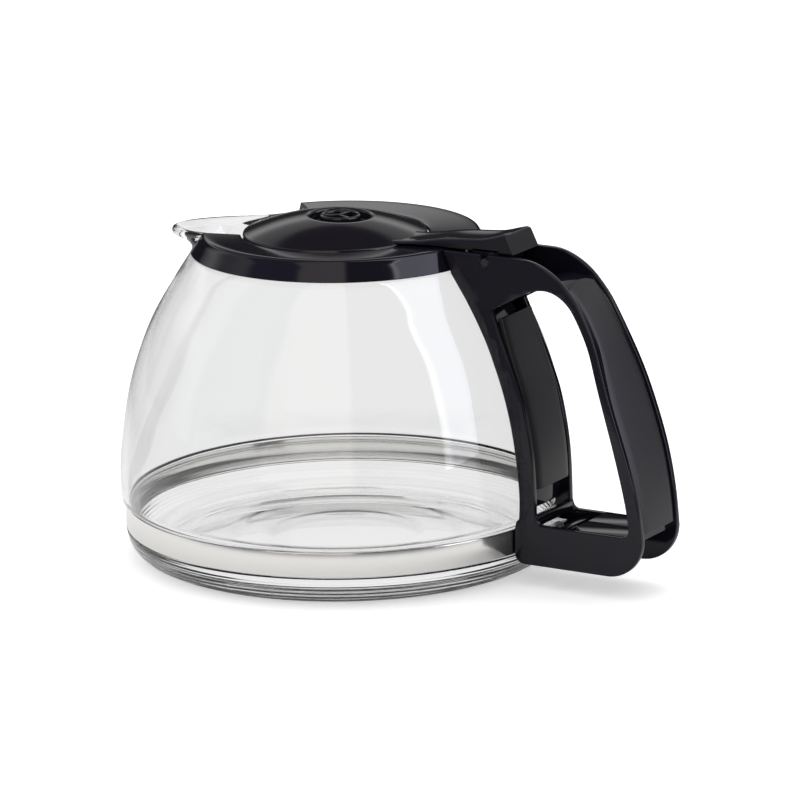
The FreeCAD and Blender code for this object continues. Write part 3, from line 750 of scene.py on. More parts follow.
def baked_nodes(
    name: str,
    data: bpy.types.ID,
    group: bpy.types.NodeTree,
    values: dict[str, object],
    material: bpy.types.Material,
) -> bpy.types.Object:
    """Runs a Geometry Nodes tree once and keeps its result as a plain mesh.

    Args:
        name: name of the new piece.
        data: curve or mesh that the tree starts from.
        group: the node tree.
        values: the tree's inputs by name.
        material: finish of the result.

    Returns:
        The new object, linked to the scene, with no modifier.
    """
    source = bpy.data.objects.new(name + "_source", data)
    bpy.context.scene.collection.objects.link(source)
    modifier = source.modifiers.new("build", "NODES")
    modifier.node_group = group
    for item in group.interface.items_tree:
        if item.item_type == "SOCKET" and item.in_out == "INPUT" and item.name in values:
            modifier[item.identifier] = values[item.name]
    bpy.context.view_layer.update()
    evaluated = source.evaluated_get(bpy.context.evaluated_depsgraph_get())
    mesh = bpy.data.meshes.new_from_object(evaluated)
    source.modifiers.remove(modifier)
    bpy.data.objects.remove(source)
    work = bmesh.new()
    work.from_mesh(mesh)
    bmesh.ops.remove_doubles(work, verts=work.verts, dist=1e-7)
    bmesh.ops.recalc_face_normals(work, faces=work.faces)
    work.to_mesh(mesh)
    work.free()
    mesh.shade_smooth()
    mesh.set_sharp_from_angle(angle=math.radians(40))
    mesh.materials.clear()
    mesh.materials.append(material)
    piece = bpy.data.objects.new(name, mesh)
    bpy.context.scene.collection.objects.link(piece)
    return piece


# ---- collar ----------------------------------------------------------------------
@dataclass
class RimCollar:
    """C-shaped glossy collar over the rim, open at the pouring lip, with a round opening for the dome."""

    near_end_deg: float = 33.0
    far_end_deg: float = 41.0
    segments: int = 200
    dome_x: float = -2.2
    inner_r: float = 30.4
    tongue_x: Point = (49.4, 60.6)
    tongue_half_y: float = 7.6
    tongue_z: Point = (96.5, 100.2)
    riser_x: Point = (46.9, 49.8)
    riser_z: Point = (100.0, 102.4)

    def section(self, inner: float) -> list[Point]:
        """Closed section: sloping wall, rounded shoulder, broad top plate and inner lip.

        Args:
            inner: radius of the inner edge at the section's angle.
        """
        shoulder = smooth_path([(45.35, 105.9), (45.0, 106.5), (44.4, 106.9), (43.6, 107.0)], 3)
        edge = smooth_path([(inner + 1.0, 106.25), (inner + 0.3, 106.05), (inner, 105.4)], 3)
        outside = [(48.85, 100.75), (48.4, 101.4), (46.9, 103.7), (45.9, 105.15)]
        lip = [(inner, 104.7), (inner + 0.1, 104.15), (inner + 0.4, 104.0), (inner + 1.0, 104.0),
               (inner + 1.4, 104.3), (inner + 1.4, 105.0)]
        under = [(42.0, 105.3), (43.6, 104.9), (48.0, 100.9), (48.4, 100.6)]
        top = [(43.6 + (inner - 42.6) * i / 6, 107.0 - 0.75 * i / 6) for i in range(1, 6)]
        return outside + shoulder + top + edge + lip + under

    def inner_radius(self, angle_deg: float) -> float:
        """Distance from the jug's axis to the circle round the dome, at an angle."""
        angle = math.radians(angle_deg)
        reach = math.sqrt(self.inner_r**2 - (self.dome_x * math.sin(angle)) ** 2)
        return self.dome_x * math.cos(angle) + reach

    def build(self, material: bpy.types.Material) -> bpy.types.Object:
        """Builds the collar and the tongue that goes into the handle."""
        draft = Draft("collar_gloss")
        start = 180.0 + self.near_end_deg
        sweep = 360.0 - self.near_end_deg - self.far_end_deg
        angles = [start + sweep * i / self.segments for i in range(self.segments + 1)]
        rows = [turned_rows(self.section(self.inner_radius(angle)), [angle])[0] for angle in angles]
        draft.grid(rows, ring=True, caps=True)
        half = self.tongue_half_y
        for (x0, x1), (z0, z1), radius in (
            (self.tongue_x, self.tongue_z, 0.4), (self.riser_x, self.riser_z, 0.3),
        ):
            draft.block((x0, -half, z0), (x1, half, z1), radius)
        piece = draft.finish(material)
        soften(piece, 0.28, 50.0)
        place(piece, Body.JUG, Slot.GLOSS, "rim_collar")
        return piece


# ---- handle ----------------------------------------------------------------------
@dataclass
class HandleShape:
    """Side-view curves and widths that the handle's pieces share."""

    back: list[Point] = field(default_factory=lambda: [
        (72.0, 107.1), (76.2, 106.8), (80.6, 105.4), (85.0, 103.0), (89.0, 99.7),
        (92.4, 95.9), (95.3, 91.8), (100.0, 82.8), (104.6, 71.2), (109.3, 57.6),
        (113.4, 44.6), (116.3, 31.5), (117.7, 20.4)])
    grip_front: list[Point] = field(default_factory=lambda: [
        (112.9, 24.0), (111.9, 32.0), (109.5, 44.0), (105.7, 58.5), (100.6, 74.0),
        (97.4, 82.0), (93.6, 89.3), (90.4, 93.8), (86.6, 96.6), (82.0, 97.7), (77.0, 96.9)])
    spine: list[Point] = field(default_factory=lambda: [
        (62.9, 89.4), (66.5, 80.4), (70.2, 71.6), (73.4, 63.4), (75.4, 56.5),
        (77.3, 46.5), (78.3, 36.0), (78.6, 24.0)])
    glass_side: list[Point] = field(default_factory=lambda: [
        (72.9, 22.4), (73.1, 30.0), (72.2, 40.0), (70.7, 50.0), (68.4, 60.0), (65.1, 70.0),
        (60.7, 80.0), (54.7, 90.0), (47.8, 100.2)])
    widths: list[tuple[float, float, float]] = field(default_factory=lambda: [
        (0.0, 12.7, 12.7), (20.0, 12.7, 12.7), (40.0, 12.7, 13.8), (58.0, 12.7, 14.4),
        (72.0, 12.7, 13.4), (82.0, 12.2, 11.8), (92.0, 11.4, 11.1), (112.0, 11.1, 11.1)])
    wall: float = 2.2
    foot_z: float = 7.6
    foot_front_x: float = 71.3
    bridge_z: float = 21.0
    foot_back_radius: float = 12.8
    foot_front_radius: float = 3.4

    def half_width(self, x: float, z: float) -> float:
        """Outer half width of the handle at a side-view point."""
        heights = [row[0] for row in self.widths]
        share = min(max((x - 84.0) / 16.0, 0.0), 1.0)
        share = share * share * (3 - 2 * share)
        spine = np.interp(z, heights, [row[1] for row in self.widths])
        grip = float(natural_spline(heights, [row[2] for row in self.widths], np.array([z]))[0])
        return float(spine) * (1 - share) + grip * share

    def outline(self) -> list[Point]:
        """Outer edge of a side wall, with the snap-in slot of the hinge pin in its top edge."""
        back_x = self.back[-1][0]
        corner = self.foot_back_radius
        small = self.foot_front_radius
        heel = arc_path((back_x - corner, self.foot_z + corner), corner, 0.0, -90.0, 16)
        toe = arc_path((self.foot_front_x + small, self.foot_z + small), small, -90.0, -180.0, 8)
        slot_half = 1.25
        bore_r = 1.5
        pin = (60.3, 104.6)
        open_deg = math.degrees(math.asin(slot_half / bore_r))
        bore = arc_path(pin, bore_r, 90.0 + open_deg, 450.0 - open_deg, 20)
        top = [(45.3, 107.1), (pin[0] - slot_half, 107.1)] + bore + [(pin[0] + slot_half, 107.1)]
        front = [(self.foot_front_x, 21.2), (72.5, 21.9)] + smooth_path(self.glass_side, 5)
        return top + smooth_path(self.back, 6) + heel[1:] + toe + front + [(47.9, 100.6)]

    def opening(self) -> list[Point]:
        """Edge of the finger opening."""
        low_front = (self.spine[-1][0] + 2.4, self.bridge_z)
        low_back = (self.grip_front[0][0] - 2.6, self.bridge_z)
        front_turn = smooth_path([self.spine[-1], (self.spine[-1][0] + 0.8, 21.8), low_front], 5)
        back_turn = smooth_path([low_back, (low_back[0] + 1.9, 21.8), self.grip_front[0]], 5)
        path = smooth_path(self.grip_front, 6) + smooth_path(self.spine, 6)
        return path + front_turn[1:] + back_turn[:-1]


@dataclass
class HandleFrame:
    """Two glossy side walls, tied by a bridge, a corner bar, a bulkhead, a shelf and an arch liner."""

    shape: HandleShape
    edge_radius: float = 0.35
    slice_step: float = 4.0
    bridge_x: Point = (91.0, 113.4)
    bridge_depth: float = 2.2
    bridge_split: float = 0.2
    tie_x: Point = (92.0, 112.0)
    bulkhead: tuple[float, ...] = (84.0, 86.6, 8.6, 19.4)
    corner_bar: tuple[float, ...] = (76.4, 79.2, 20.2, 23.4)
    shelf: tuple[float, ...] = (51.4, 61.4, 94.0, 96.4)
    shelf_half_y: float = 10.4
    web_z: Point = (24.2, 91.5)
    web_depth: float = 1.8

    def wall_mesh(self, side: int) -> bpy.types.Mesh:
        """One side wall: an outline with a hole, rounded along every edge and bent to the widths.

        Args:
            side: -1 for the wall at negative y, 1 for the other.

        Returns:
            The wall's mesh in millimetres.
        """
        outlines = (self.shape.outline(), self.shape.opening())
        loops = [[Vector((x, z, 0.0)) for x, z in outline] for outline in outlines]
        curve = plane_curve("wall_outline", loops, "2D")
        curve.fill_mode = "BOTH"
        curve.extrude = self.shape.wall / 2 - self.edge_radius
        curve.bevel_depth = self.edge_radius
        curve.bevel_resolution = 2
        curve.offset = -self.edge_radius
        source = bpy.data.objects.new("wall_source", curve)
        bpy.context.scene.collection.objects.link(source)
        evaluated = source.evaluated_get(bpy.context.evaluated_depsgraph_get())
        mesh = bpy.data.meshes.new_from_object(evaluated)
        bpy.data.objects.remove(source)
        work = bmesh.new()
        work.from_mesh(mesh)
        bmesh.ops.remove_doubles(work, verts=work.verts, dist=1e-4)
        cuts = [(Vector((0, z, 0)), Vector((0, 1, 0))) for z in np.arange(12.0, 107.0, self.slice_step)]
        cuts += [(Vector((x, 0, 0)), Vector((1, 0, 0))) for x in np.arange(50.0, 117.0, self.slice_step)]
        for spot, normal in cuts:
            geometry = list(work.verts) + list(work.edges) + list(work.faces)
            bmesh.ops.bisect_plane(work, geom=geometry, dist=1e-5, plane_co=spot, plane_no=normal)
        for vert in work.verts:
            x, z, across = vert.co
            middle = self.shape.half_width(x, z) - self.shape.wall / 2
            vert.co = Vector((x, side * (middle + across), z))
        work.to_mesh(mesh)
        work.free()
        return mesh

    def liner(self, draft: Draft) -> None:
        """Finger side of the arch and the grip, a thin curved plate between the walls."""
        shape = self.shape
        edge = [(shape.grip_front[0][0] + 0.2, 19.5)] + shape.grip_front
        path = smooth_path(edge, 6) + [(72.0, 94.6), (67.0, 92.0), (62.9, 89.9)]
        near = beside(path, 0.5)
        far = beside(path, 2.3)
        rows = []
        for front, rear in zip(near, far):
            half = shape.half_width(*front) - 0.6
            rows.append([
                Vector((front[0], -half, front[1])), Vector((front[0], half, front[1])),
                Vector((rear[0], half, rear[1])), Vector((rear[0], -half, rear[1]))])
        draft.grid(rows, ring=True, caps=True)

    def web(self, draft: Draft) -> None:
        """Curved plate between the side walls, along the glass."""
        rows = []
        for x, z in smooth_path(self.shape.glass_side, 5):
            if not self.web_z[0] < z < self.web_z[1]:
                continue
            half = self.shape.half_width(x, z) - 0.8
            front = math.hypot(x, half)
            sides = [half * share for share in np.linspace(-1.0, 1.0, 9)]
            row = [Vector((math.sqrt(front**2 - y**2), y, z)) for y in sides]
            rear = front + self.web_depth
            row += [Vector((math.sqrt(rear**2 - y**2), y, z)) for y in reversed(sides)]
            rows.append(row)
        draft.grid(rows, ring=True, caps=True)

    def build(self, material: bpy.types.Material) -> bpy.types.Object:
        """Builds the frame as one piece."""
        draft = Draft("handle_gloss")
        for side in (-1, 1):
            draft.take(self.wall_mesh(side))
        half = self.shape.half_width(80.0, 20.0) - 1.2
        top = self.shape.bridge_z
        low = top - self.bridge_depth
        for low_y, high_y in ((-half - 0.6, -self.bridge_split), (self.bridge_split, half + 0.6)):
            draft.block((self.bridge_x[0], low_y, low), (self.bridge_x[1], high_y, top), 0.25)
        draft.block((self.tie_x[0], -1.5, low), (self.tie_x[1], 1.5, top - 0.6), 0.1)
        for (x0, x1, z0, z1), half_y, radius in (
            (self.bulkhead, half, 0.3), (self.corner_bar, half, 0.4), (self.shelf, self.shelf_half_y, 0.3),
        ):
            draft.block((x0, -half_y, z0), (x1, half_y, z1), radius)
        self.liner(draft)
        self.web(draft)
        piece = draft.finish(material, 28.0)
        place(piece, Body.JUG, Slot.GLOSS, "handle_frame")
        return piece


@dataclass
class CoverStrip:
    """A satin cover that follows one of the handle's curves, crowned across its width."""

    shape: HandleShape
    thickness: float = 2.0
    side_gap: float = 0.18
    across: int = 12
    rim: float = 0.5

    def strip(self, name: str, path: list[Point], depth: float, crown: float, arch: float) -> Draft:
        """Builds a strip along a path.

        Args:
            name: name of the piece.
            path: side-view points of the shown face.
            depth: thickness, towards the right of the path's direction.
            crown: how far the side edges lie below the middle.
            arch: how far the first rows bow upwards at the middle.

        Returns:
            The draft with the strip.
        """
        draft = Draft(name)
        rear = beside(path, depth)
        reach = len(path) // 5
        rows = []
        for i, (front, back) in enumerate(zip(path, rear)):
            half = self.shape.half_width(*front) - self.shape.wall - self.side_gap
            inward = Vector((back[0] - front[0], 0, back[1] - front[1])).normalized()
            ahead = path[max(i - 1, 0)]
            behind = path[min(i + 1, len(path) - 1)]
            along = Vector((ahead[0] - behind[0], 0, ahead[1] - behind[1])).normalized()
            row = []
            for j in range(self.across + 1):
                share = -1 + 2 * j / self.across
                edge = max(0.0, (abs(share) - 0.86) / 0.14)
                drop = crown * share**2 + self.rim * edge**2
                spot = Vector((front[0], share * half, front[1])) + inward * drop
                bow = arch * (1 - share**2) * max(0.0, 1 - i / reach)
                row.append(spot + along * bow)
            for j in range(self.across, -1, -self.across):
                share = -1 + 2 * j / self.across
                row.append(Vector((back[0], share * half, back[1])))
            rows.append(row)
        draft.grid(rows, ring=True, caps=True)
        return draft

    def build_grip(self, material: bpy.types.Material) -> bpy.types.Object:
        """Back of the grip, from its arched top edge to the open channel in the foot."""
        path = [p for p in smooth_path(self.shape.back, 6) if 21.2 < p[1] < 99.0]
        draft = self.strip("grip_satin", path, self.thickness, 0.35, 2.4)
        piece = draft.finish(material)
        soften(piece, 0.3, 45.0)
        place(piece, Body.JUG, Slot.SATIN, "grip_cover")
        return piece

    def build_spine(self, material: bpy.types.Material) -> bpy.types.Object:
        """Finger side of the spine, more proud at its top than at its foot."""
        face = [(65.6, 90.2), (68.4, 81.0), (71.5, 72.0), (74.3, 63.7), (76.1, 56.5),
                (78.0, 46.5), (79.0, 36.0), (79.3, 24.0)]
        path = [spot for spot in smooth_path(face, 6) if 31.0 < spot[1] < 88.6]
        draft = self.strip("spine_satin", path, self.thickness + 0.6, 0.35, 0.3)
        piece = draft.finish(material)
        soften(piece, 0.35, 45.0)
        place(piece, Body.JUG, Slot.SATIN, "spine_cover")
        return piece


@dataclass
class LevelMarks:
    """Small moulded level marks on the spine's near wall, set out by Geometry Nodes."""

    shape: HandleShape
    count: int = 11
    length: float = 2.6
    width: float = 0.35
    height: float = 0.12
    low_z: float = 30.0
    high_z: float = 84.0

    def tree(self, material: bpy.types.Material) -> bpy.types.NodeTree:
        """Node tree that puts one small bar at each of equally spaced places on a path."""
        group = bpy.data.node_groups.new("level_marks", "GeometryNodeTree")
        group.interface.new_socket(name="Path", in_out="INPUT", socket_type="NodeSocketGeometry")
        group.interface.new_socket(name="Count", in_out="INPUT", socket_type="NodeSocketInt")
        group.interface.new_socket(name="Bar size", in_out="INPUT", socket_type="NodeSocketVector")
        group.interface.new_socket(name="Marks", in_out="OUTPUT", socket_type="NodeSocketGeometry")
        tree = Tree(group)
        given = tree.node("NodeGroupInput")
        result = tree.node("NodeGroupOutput")
        spread = tree.node("GeometryNodeCurveToPoints", mode="COUNT")
        bar = tree.node("GeometryNodeMeshCube")
        stamp = tree.node("GeometryNodeInstanceOnPoints")
        realize = tree.node("GeometryNodeRealizeInstances")
        dress = tree.node("GeometryNodeSetMaterial")
        dress.inputs["Material"].default_value = material
        tree.link(given.outputs["Path"], spread.inputs["Curve"])
        tree.link(given.outputs["Count"], spread.inputs["Count"])
        tree.link(given.outputs["Bar size"], bar.inputs["Size"])
        tree.link(spread.outputs["Points"], stamp.inputs["Points"])
        tree.link(bar.outputs["Mesh"], stamp.inputs["Instance"])
        tree.link(stamp.outputs[0], realize.inputs[0])
        tree.link(realize.outputs[0], dress.inputs["Geometry"])
        tree.link(dress.outputs[0], result.inputs[0])
        return group

    def build(self, material: bpy.types.Material) -> bpy.types.Object:
        """Builds the marks and keeps them as a plain mesh."""
        spots = []
        for x, z in smooth_path(self.shape.glass_side, 4):
            if self.low_z <= z <= self.high_z:
                middle_x = x + 2.4
                spots.append(Vector((middle_x, -self.shape.half_width(middle_x, z), z)) * MM)
        curve = plane_curve("mark_path", [spots], "3D")
        values = {"Count": self.count, "Bar size": (self.length * MM, 2 * self.height * MM, self.width * MM)}
        piece = baked_nodes("level_marks", curve, self.tree(material), values, material)
        place(piece, Body.JUG, Slot.GLOSS)
        return piece


# ---- lid -------------------------------------------------------------------------
@dataclass
class LidCover:
    """Domed lid with a recess round the inlet and a thumb lever that ends in a raised tab."""

    dome_x: float = -2.2
    crown_z: float = 112.8
    sphere_r: float = 70.0
    edge_r: float = 30.0
    skirt_z: float = 103.2
    wall: float = 1.8
    recess_r: float = 9.9
    recess_z: float = 108.6
    half_y: float = 8.2
    pin: Point = (60.3, 104.6)
    boss_r: float = 3.2
    segments: int = 144

    def dome_z(self, radius: float) -> float:
        """Height of the dome's top at a radius."""
        return self.crown_z - radius**2 / (2 * self.sphere_r)

    def dome_section(self) -> list[Point]:
        """Closed section of the dome, skirt and recess."""
        top = [(float(r), self.dome_z(float(r))) for r in np.linspace(self.recess_r + 1.0, 29.1, 22)]
        edge = smooth_path([top[-1], (29.75, self.dome_z(29.6) - 0.1), (self.edge_r, 105.7)], 3)[1:]
        skirt = [(self.edge_r, 104.6), (self.edge_r, self.skirt_z + 0.3), (29.7, self.skirt_z)]
        inside = [(28.5, self.skirt_z), (28.2, self.skirt_z + 0.3)]
        under = [(float(r), self.dome_z(float(r)) - self.wall) for r in np.linspace(28.2, 11.6, 10)]
        floor = [(11.5, self.recess_z - 1.4), (5.2, self.recess_z - 1.4), (5.2, self.recess_z)]
        recess = [(self.recess_r - 0.4, self.recess_z), (self.recess_r, self.recess_z + 0.4)]
        lip = smooth_path([(self.recess_r, 111.0), (self.recess_r + 0.25, 111.7), top[0]], 3)[:-1]
        return top + edge + skirt + inside + under + floor + recess + lip

    def dome_rows(self, angles: list[float]) -> list[list[Vector]]:
        """The dome's sections, its edge round the dome's centre and its recess round the jug's axis."""
        rows = turned_rows(self.dome_section(), angles)
        centre = Vector((self.dome_x, 0.0))
        for spot in (spot for row in rows for spot in row):
            radius = spot.xy.length
            share = min(max((radius - 11.5) / 15.0, 0.0), 1.0)
            spot.x += self.dome_x * share
            if radius > 11.55 or spot.z > self.recess_z + 1.5:
                spot.z += self.dome_z((spot.xy - centre).length) - self.dome_z(radius)
        return rows

    def lever_rows(self) -> list[list[Vector]]:
        """Sections of the lever from inside the dome to its raised end."""
        top = smooth_path([
            (24.0, 107.5), (28.0, 107.75), (31.6, 108.2), (36.0, 108.9), (41.0, 109.8), (47.0, 110.5),
            (54.4, 111.1), (58.5, 111.65), (62.0, 112.6), (65.6, 113.6)], 4)
        low_end = 69.2
        rows = []
        last_x = top[-1][0]
        for x, z in top + [(66.3, 113.35)]:
            share = max(0.0, (x - 58.0) / (66.3 - 58.0))
            low_x = x + (low_end - 66.3) * share
            rows.append(self.lever_section(x, z, low_x, 0.5 if x < last_x else 0.2))
        return rows

    def lever_section(self, top_x: float, top_z: float, low_x: float, hollow: float) -> list[Vector]:
        """One cross section, its sides rounded into a slightly hollow top."""
        corner = 0.9
        spots = []
        steps = 8
        for side in (1, -1):
            turn = [(math.radians(90.0 * i / 4)) for i in range(5)]
            if side < 0:
                turn.reverse()
            for angle in turn:
                y = side * (self.half_y - corner + corner * math.cos(angle))
                z = top_z - corner + corner * math.sin(angle)
                spots.append((y, z))
            if side > 0:
                for i in range(1, steps):
                    share = 1 - 2 * i / steps
                    y = share * (self.half_y - corner)
                    spots.append((y, top_z - hollow * (1 - share**2)))
        under_z = float(np.interp(top_x, (24.0, 30.6, 40.0), (106.65, 106.95, 107.4)))
        spots += [(-self.half_y, under_z + 0.2), (-self.half_y + 0.3, under_z)]
        spots += [(self.half_y - 0.3, under_z), (self.half_y, under_z + 0.2)]
        section = []
        for y, z in spots:
            share = (z - under_z) / (top_z - under_z)
            section.append(Vector((low_x + (top_x - low_x) * share, y, z)))
        return section

    def boss_outline(self) -> list[Point]:
        """Side view of the hinge boss and its neck."""
        round_part = arc_path(self.pin, self.boss_r, 150.0, 370.0, 24)
        return round_part + [(63.9, 108.2), (54.4, 108.2), (54.4, 107.0)]

    def build(self, material: bpy.types.Material) -> bpy.types.Object:
        """Builds dome, lever and boss as one piece."""
        draft = Draft("lid_gloss")
        angles = [360.0 * i / self.segments for i in range(self.segments)]
        draft.grid(self.dome_rows(angles), ring=True, loop=True)
        draft.grid(self.lever_rows(), ring=True, caps=True)
        draft.prism(self.boss_outline(), -self.half_y, self.half_y)
        piece = draft.finish(material, 38.0)
        soften(piece, 0.4, 50.0)
        place(piece, Body.LID, Slot.LID_GLOSS, "lid_cover")
        return piece


@dataclass
class InletRing:
    """Spoked ring on the drip tube."""

    top_z: float = 112.3
    ring_r: float = 6.7
    ring_wall: float = 1.3
    tube_r: float = 5.0
    tube_wall: float = 1.2
    low_z: float = 99.0
    spokes: int = 3

    def ring_section(self) -> list[Point]:
        """Closed section of the ring and tube, with a round top."""
        inner = self.ring_r - self.ring_wall
        middle = (self.ring_r + inner) / 2
        crown = arc_path((middle, self.top_z - self.ring_wall / 2), self.ring_wall / 2, 0.0, 180.0, 8)
        outside = [(self.ring_r, self.top_z - 1.8), (self.ring_r - 0.3, self.top_z - 2.6)]
        neck = [(self.tube_r + 0.2, self.top_z - 3.2), (self.tube_r, self.top_z - 4.0)]
        tube = [(self.tube_r, self.low_z + 0.3), (self.tube_r - 0.3, self.low_z)]
        bore_r = self.tube_r - self.tube_wall
        bore = [(bore_r + 0.3, self.low_z), (bore_r, self.low_z + 0.3), (bore_r, self.top_z - 3.4)]
        up = [(bore_r + 0.3, self.top_z - 2.6), (inner, self.top_z - 2.0)]
        return crown + list(reversed(up)) + list(reversed(bore)) + list(reversed(tube)) + list(
            reversed(neck)) + list(reversed(outside))

    def build(self, material: bpy.types.Material) -> bpy.types.Object:
        """Builds ring, tube and spokes."""
        draft = Draft("inlet_gloss")
        angles = [360.0 * i / 72 for i in range(72)]
        draft.grid(turned_rows(self.ring_section(), angles), ring=True, loop=True)
        for step in range(self.spokes):
            turn = Matrix.Rotation(math.radians(90 + 360.0 / self.spokes * step), 4, "Z")
            before = set(draft.bm.verts)
            draft.block((0.0, -0.65, self.top_z - 1.7), (self.ring_r - 0.7, 0.65, self.top_z - 0.1), 0.3)
            fresh = [vert for vert in draft.bm.verts if vert not in before]
            bmesh.ops.transform(draft.bm, matrix=turn, verts=fresh)
        piece = draft.finish(material, 40.0)
        place(piece, Body.LID, Slot.LID_GLOSS, "inlet_ring")
        return piece


# ---- studio ----------------------------------------------------------------------
@dataclass
class Studio:
    """Pale floor, soft lights and the camera."""

    camera_at: tuple[float, float, float] = (0.9519, -1.5234, 0.5125)
    look_at: tuple[float, float, float] = (0.01556, 0.00973, 0.04965)
    roll_deg: float = -0.936
    lens: float = 255.7
    world_strength: float = 1.0
    # Level of what rays through the glass see, on the floor and round it: painted light and shade that stand
    # in for the light through the glass and set its grey.
    through_glass: float = 0.83
    # Floor glow seen by camera rays, painted light that lifts the floor and fades the jug's cast shadow.
    camera_lift: float = 0.35
    floor_fade: Point = (0.17, 0.40)
    floor_colour: tuple[float, float, float] = (0.95, 0.95, 0.95)
    # Floor colour seen only in reflections far from the jug, a painted reflection that darkens the glossy
    # parts.
    far_floor_reflection_colour: tuple[float, float, float] = (0.30, 0.30, 0.31)
    # Floor colour for rays through the glass, nearly black so that only the painted glow shows there.
    hidden_floor_colour: tuple[float, float, float] = (0.02, 0.02, 0.02)
    to_camera: tuple[float, float, float] = (0.524, -0.852, 0.0)
    to_right: tuple[float, float, float] = (0.852, 0.524, 0.0)
    patch_at: tuple[float, float, float] = (-0.321, 0.526, 0.788)
    patch_edge: Point = (0.945, 0.968)
    patch_colour: tuple[float, float, float] = (0.02, 0.02, 0.03)
    panels: list = field(default_factory=lambda: [
        (-180.0, (0.40, 0.40, 0.42)), (-156.0, (0.9, 0.9, 0.92)), (-140.0, (1.7, 1.7, 1.75)),
        (-92.0, (0.9, 0.9, 1.0)), (-86.0, (0.25, 0.25, 0.40)), (-46.0, (0.22, 0.22, 0.34)),
        (-41.0, (1.5, 1.4, 1.35)), (3.0, (1.6, 1.5, 1.45)), (6.0, (0.10, 0.10, 0.11)),
        (52.0, (0.10, 0.10, 0.12)), (54.0, (6.0, 6.0, 6.2)), (56.0, (6.0, 6.0, 6.2)),
        (58.0, (3.2, 3.2, 3.9)), (101.0, (3.0, 3.0, 3.6)), (112.0, (0.6, 0.6, 0.62)),
        (180.0, (0.40, 0.40, 0.42))])
    far_levels: list[Point] = field(default_factory=lambda: [
        (0.0, 0.02), (0.19, 0.02), (0.26, 0.50), (0.35, 1.2), (0.44, 0.5), (0.9, 0.35)])

    def ray_kinds(self, tree: Tree) -> tuple:
        """Masks for rays through the glass and reflected outside it, and the Light Path node."""
        path = tree.node("ShaderNodeLightPath")
        outside = tree.maths("LESS_THAN", path.outputs["Transmission Depth"], 0.5)
        through = tree.maths("SUBTRACT", 1.0, outside)
        glossy = tree.maths("MULTIPLY", outside, path.outputs["Is Glossy Ray"])
        return through, glossy, path

    def reflected(self, tree: Tree) -> bpy.types.NodeSocket:
        """Colours that glossy surfaces reflect: panels round the horizon, a far sky and a dark patch."""
        coords = tree.node("ShaderNodeTexCoord")
        ray = coords.outputs["Generated"]
        toward = tree.along(ray, self.to_camera)
        turn = tree.maths("ARCTAN2", tree.along(ray, self.to_right), toward)
        round_share = tree.maths("MULTIPLY_ADD", turn, 0.5 / math.pi, 0.5)
        panels = tree.ramp(round_share, [((deg + 180.0) / 360.0, colour) for deg, colour in self.panels])
        height = tree.along(ray, (0.0, 0.0, 1.0))
        sky = tree.ramp(height, [(at, (level, level, level)) for at, level in self.far_levels])
        sides = tree.mix(tree.smooth_step(toward, 0.0, -0.35), panels, sky)
        patch = tree.smooth_step(tree.along(ray, self.patch_at), *self.patch_edge)
        return tree.mix(patch, sides, self.patch_colour)

    def floor(self) -> None:
        """A pale round floor that glossy surfaces see darker far from the jug, a painted reflection. It
        glows with painted light for rays through the glass and for camera rays, which fades the shadow under
        the jug.
        """
        draft = Draft("studio_floor")
        rings = [(r, 0.0) for r in (0.0, 300.0, 900.0, 3000.0)]
        angles = [360.0 * i / 64 for i in range(64)]
        draft.grid(turned_rows(rings, angles), loop=True)
        material, tree, shader = start_material("studio_floor")
        shader.inputs["Roughness"].default_value = 0.9
        shader.inputs["Specular IOR Level"].default_value = 0.0
        coords = tree.node("ShaderNodeTexCoord")
        length = tree.node("ShaderNodeVectorMath", operation="LENGTH")
        tree.link(coords.outputs["Object"], length.inputs[0])
        reach = tree.smooth_step(length.outputs["Value"], *self.floor_fade)
        through, glossy, path = self.ray_kinds(tree)
        # Painted reflection: glossy rays see the floor darker far from the jug.
        ground = tree.mix(tree.maths("MULTIPLY", reach, glossy), self.floor_colour, self.far_floor_reflection_colour)
        # Rays through the glass see the near-black floor, lit only by its painted glow.
        tree.link(tree.mix(through, ground, self.hidden_floor_colour), shader.inputs["Base Color"])
        shader.inputs["Emission Color"].default_value = (1.0, 1.0, 1.0, 1.0)
        # Painted light: the floor glows for camera rays and for rays through the glass, in place of the
        # shadow under the jug.
        lift = tree.maths("MULTIPLY", path.outputs["Is Camera Ray"], self.camera_lift)
        level = tree.maths("MULTIPLY_ADD", through, self.through_glass, lift)
        tree.link(level, shader.inputs["Emission Strength"])
        floor = draft.finish(material)

    def world(self) -> None:
        """White surroundings, with a studio of its own for what glossy surfaces reflect; rays through the
        glass see them dimmed to a fixed level, a painted shade that sets the glass's grey.
        """
        world = bpy.data.worlds.new("studio")
        world.use_nodes = True
        world.node_tree.nodes.clear()
        bpy.context.scene.world = world
        tree = Tree(world.node_tree)
        through, glossy, _ = self.ray_kinds(tree)
        # Painted shade: rays through the glass see the white surroundings dimmed to the through-glass level.
        plain = tree.maths("MULTIPLY_ADD", through, self.through_glass - 1.0, 1.0)
        seen = tree.mix(glossy, plain, self.reflected(tree))
        background = tree.node("ShaderNodeBackground")
        background.inputs["Strength"].default_value = self.world_strength
        tree.link(seen, background.inputs["Color"])
        output = tree.node("ShaderNodeOutputWorld")
        tree.link(background.outputs[0], output.inputs["Surface"])

    def light(self, name: str, spot: tuple, aim: tuple, size: Point, power: float) -> None:
        """A soft box.

        Args:
            name: the light's name.
            spot: where it stands, in metres.
            aim: the point that it faces.
            size: width and height in metres.
            power: watts.
        """
        data = bpy.data.lights.new(name, "AREA")
        data.shape = "RECTANGLE"
        data.size, data.size_y = size
        data.energy = power
        lamp = bpy.data.objects.new(name, data)
        lamp.location = spot
        lamp.visible_glossy = False
        lamp.rotation_euler = (Vector(aim) - Vector(spot)).to_track_quat("-Z", "Y").to_euler()
        bpy.context.scene.collection.objects.link(lamp)

    def lights(self) -> None:
        """A soft box above."""
        self.light("top_box", (-0.1, 0.3, 1.3), (0.0, 0.0, 0.0), (1.1, 1.1), 3.0)

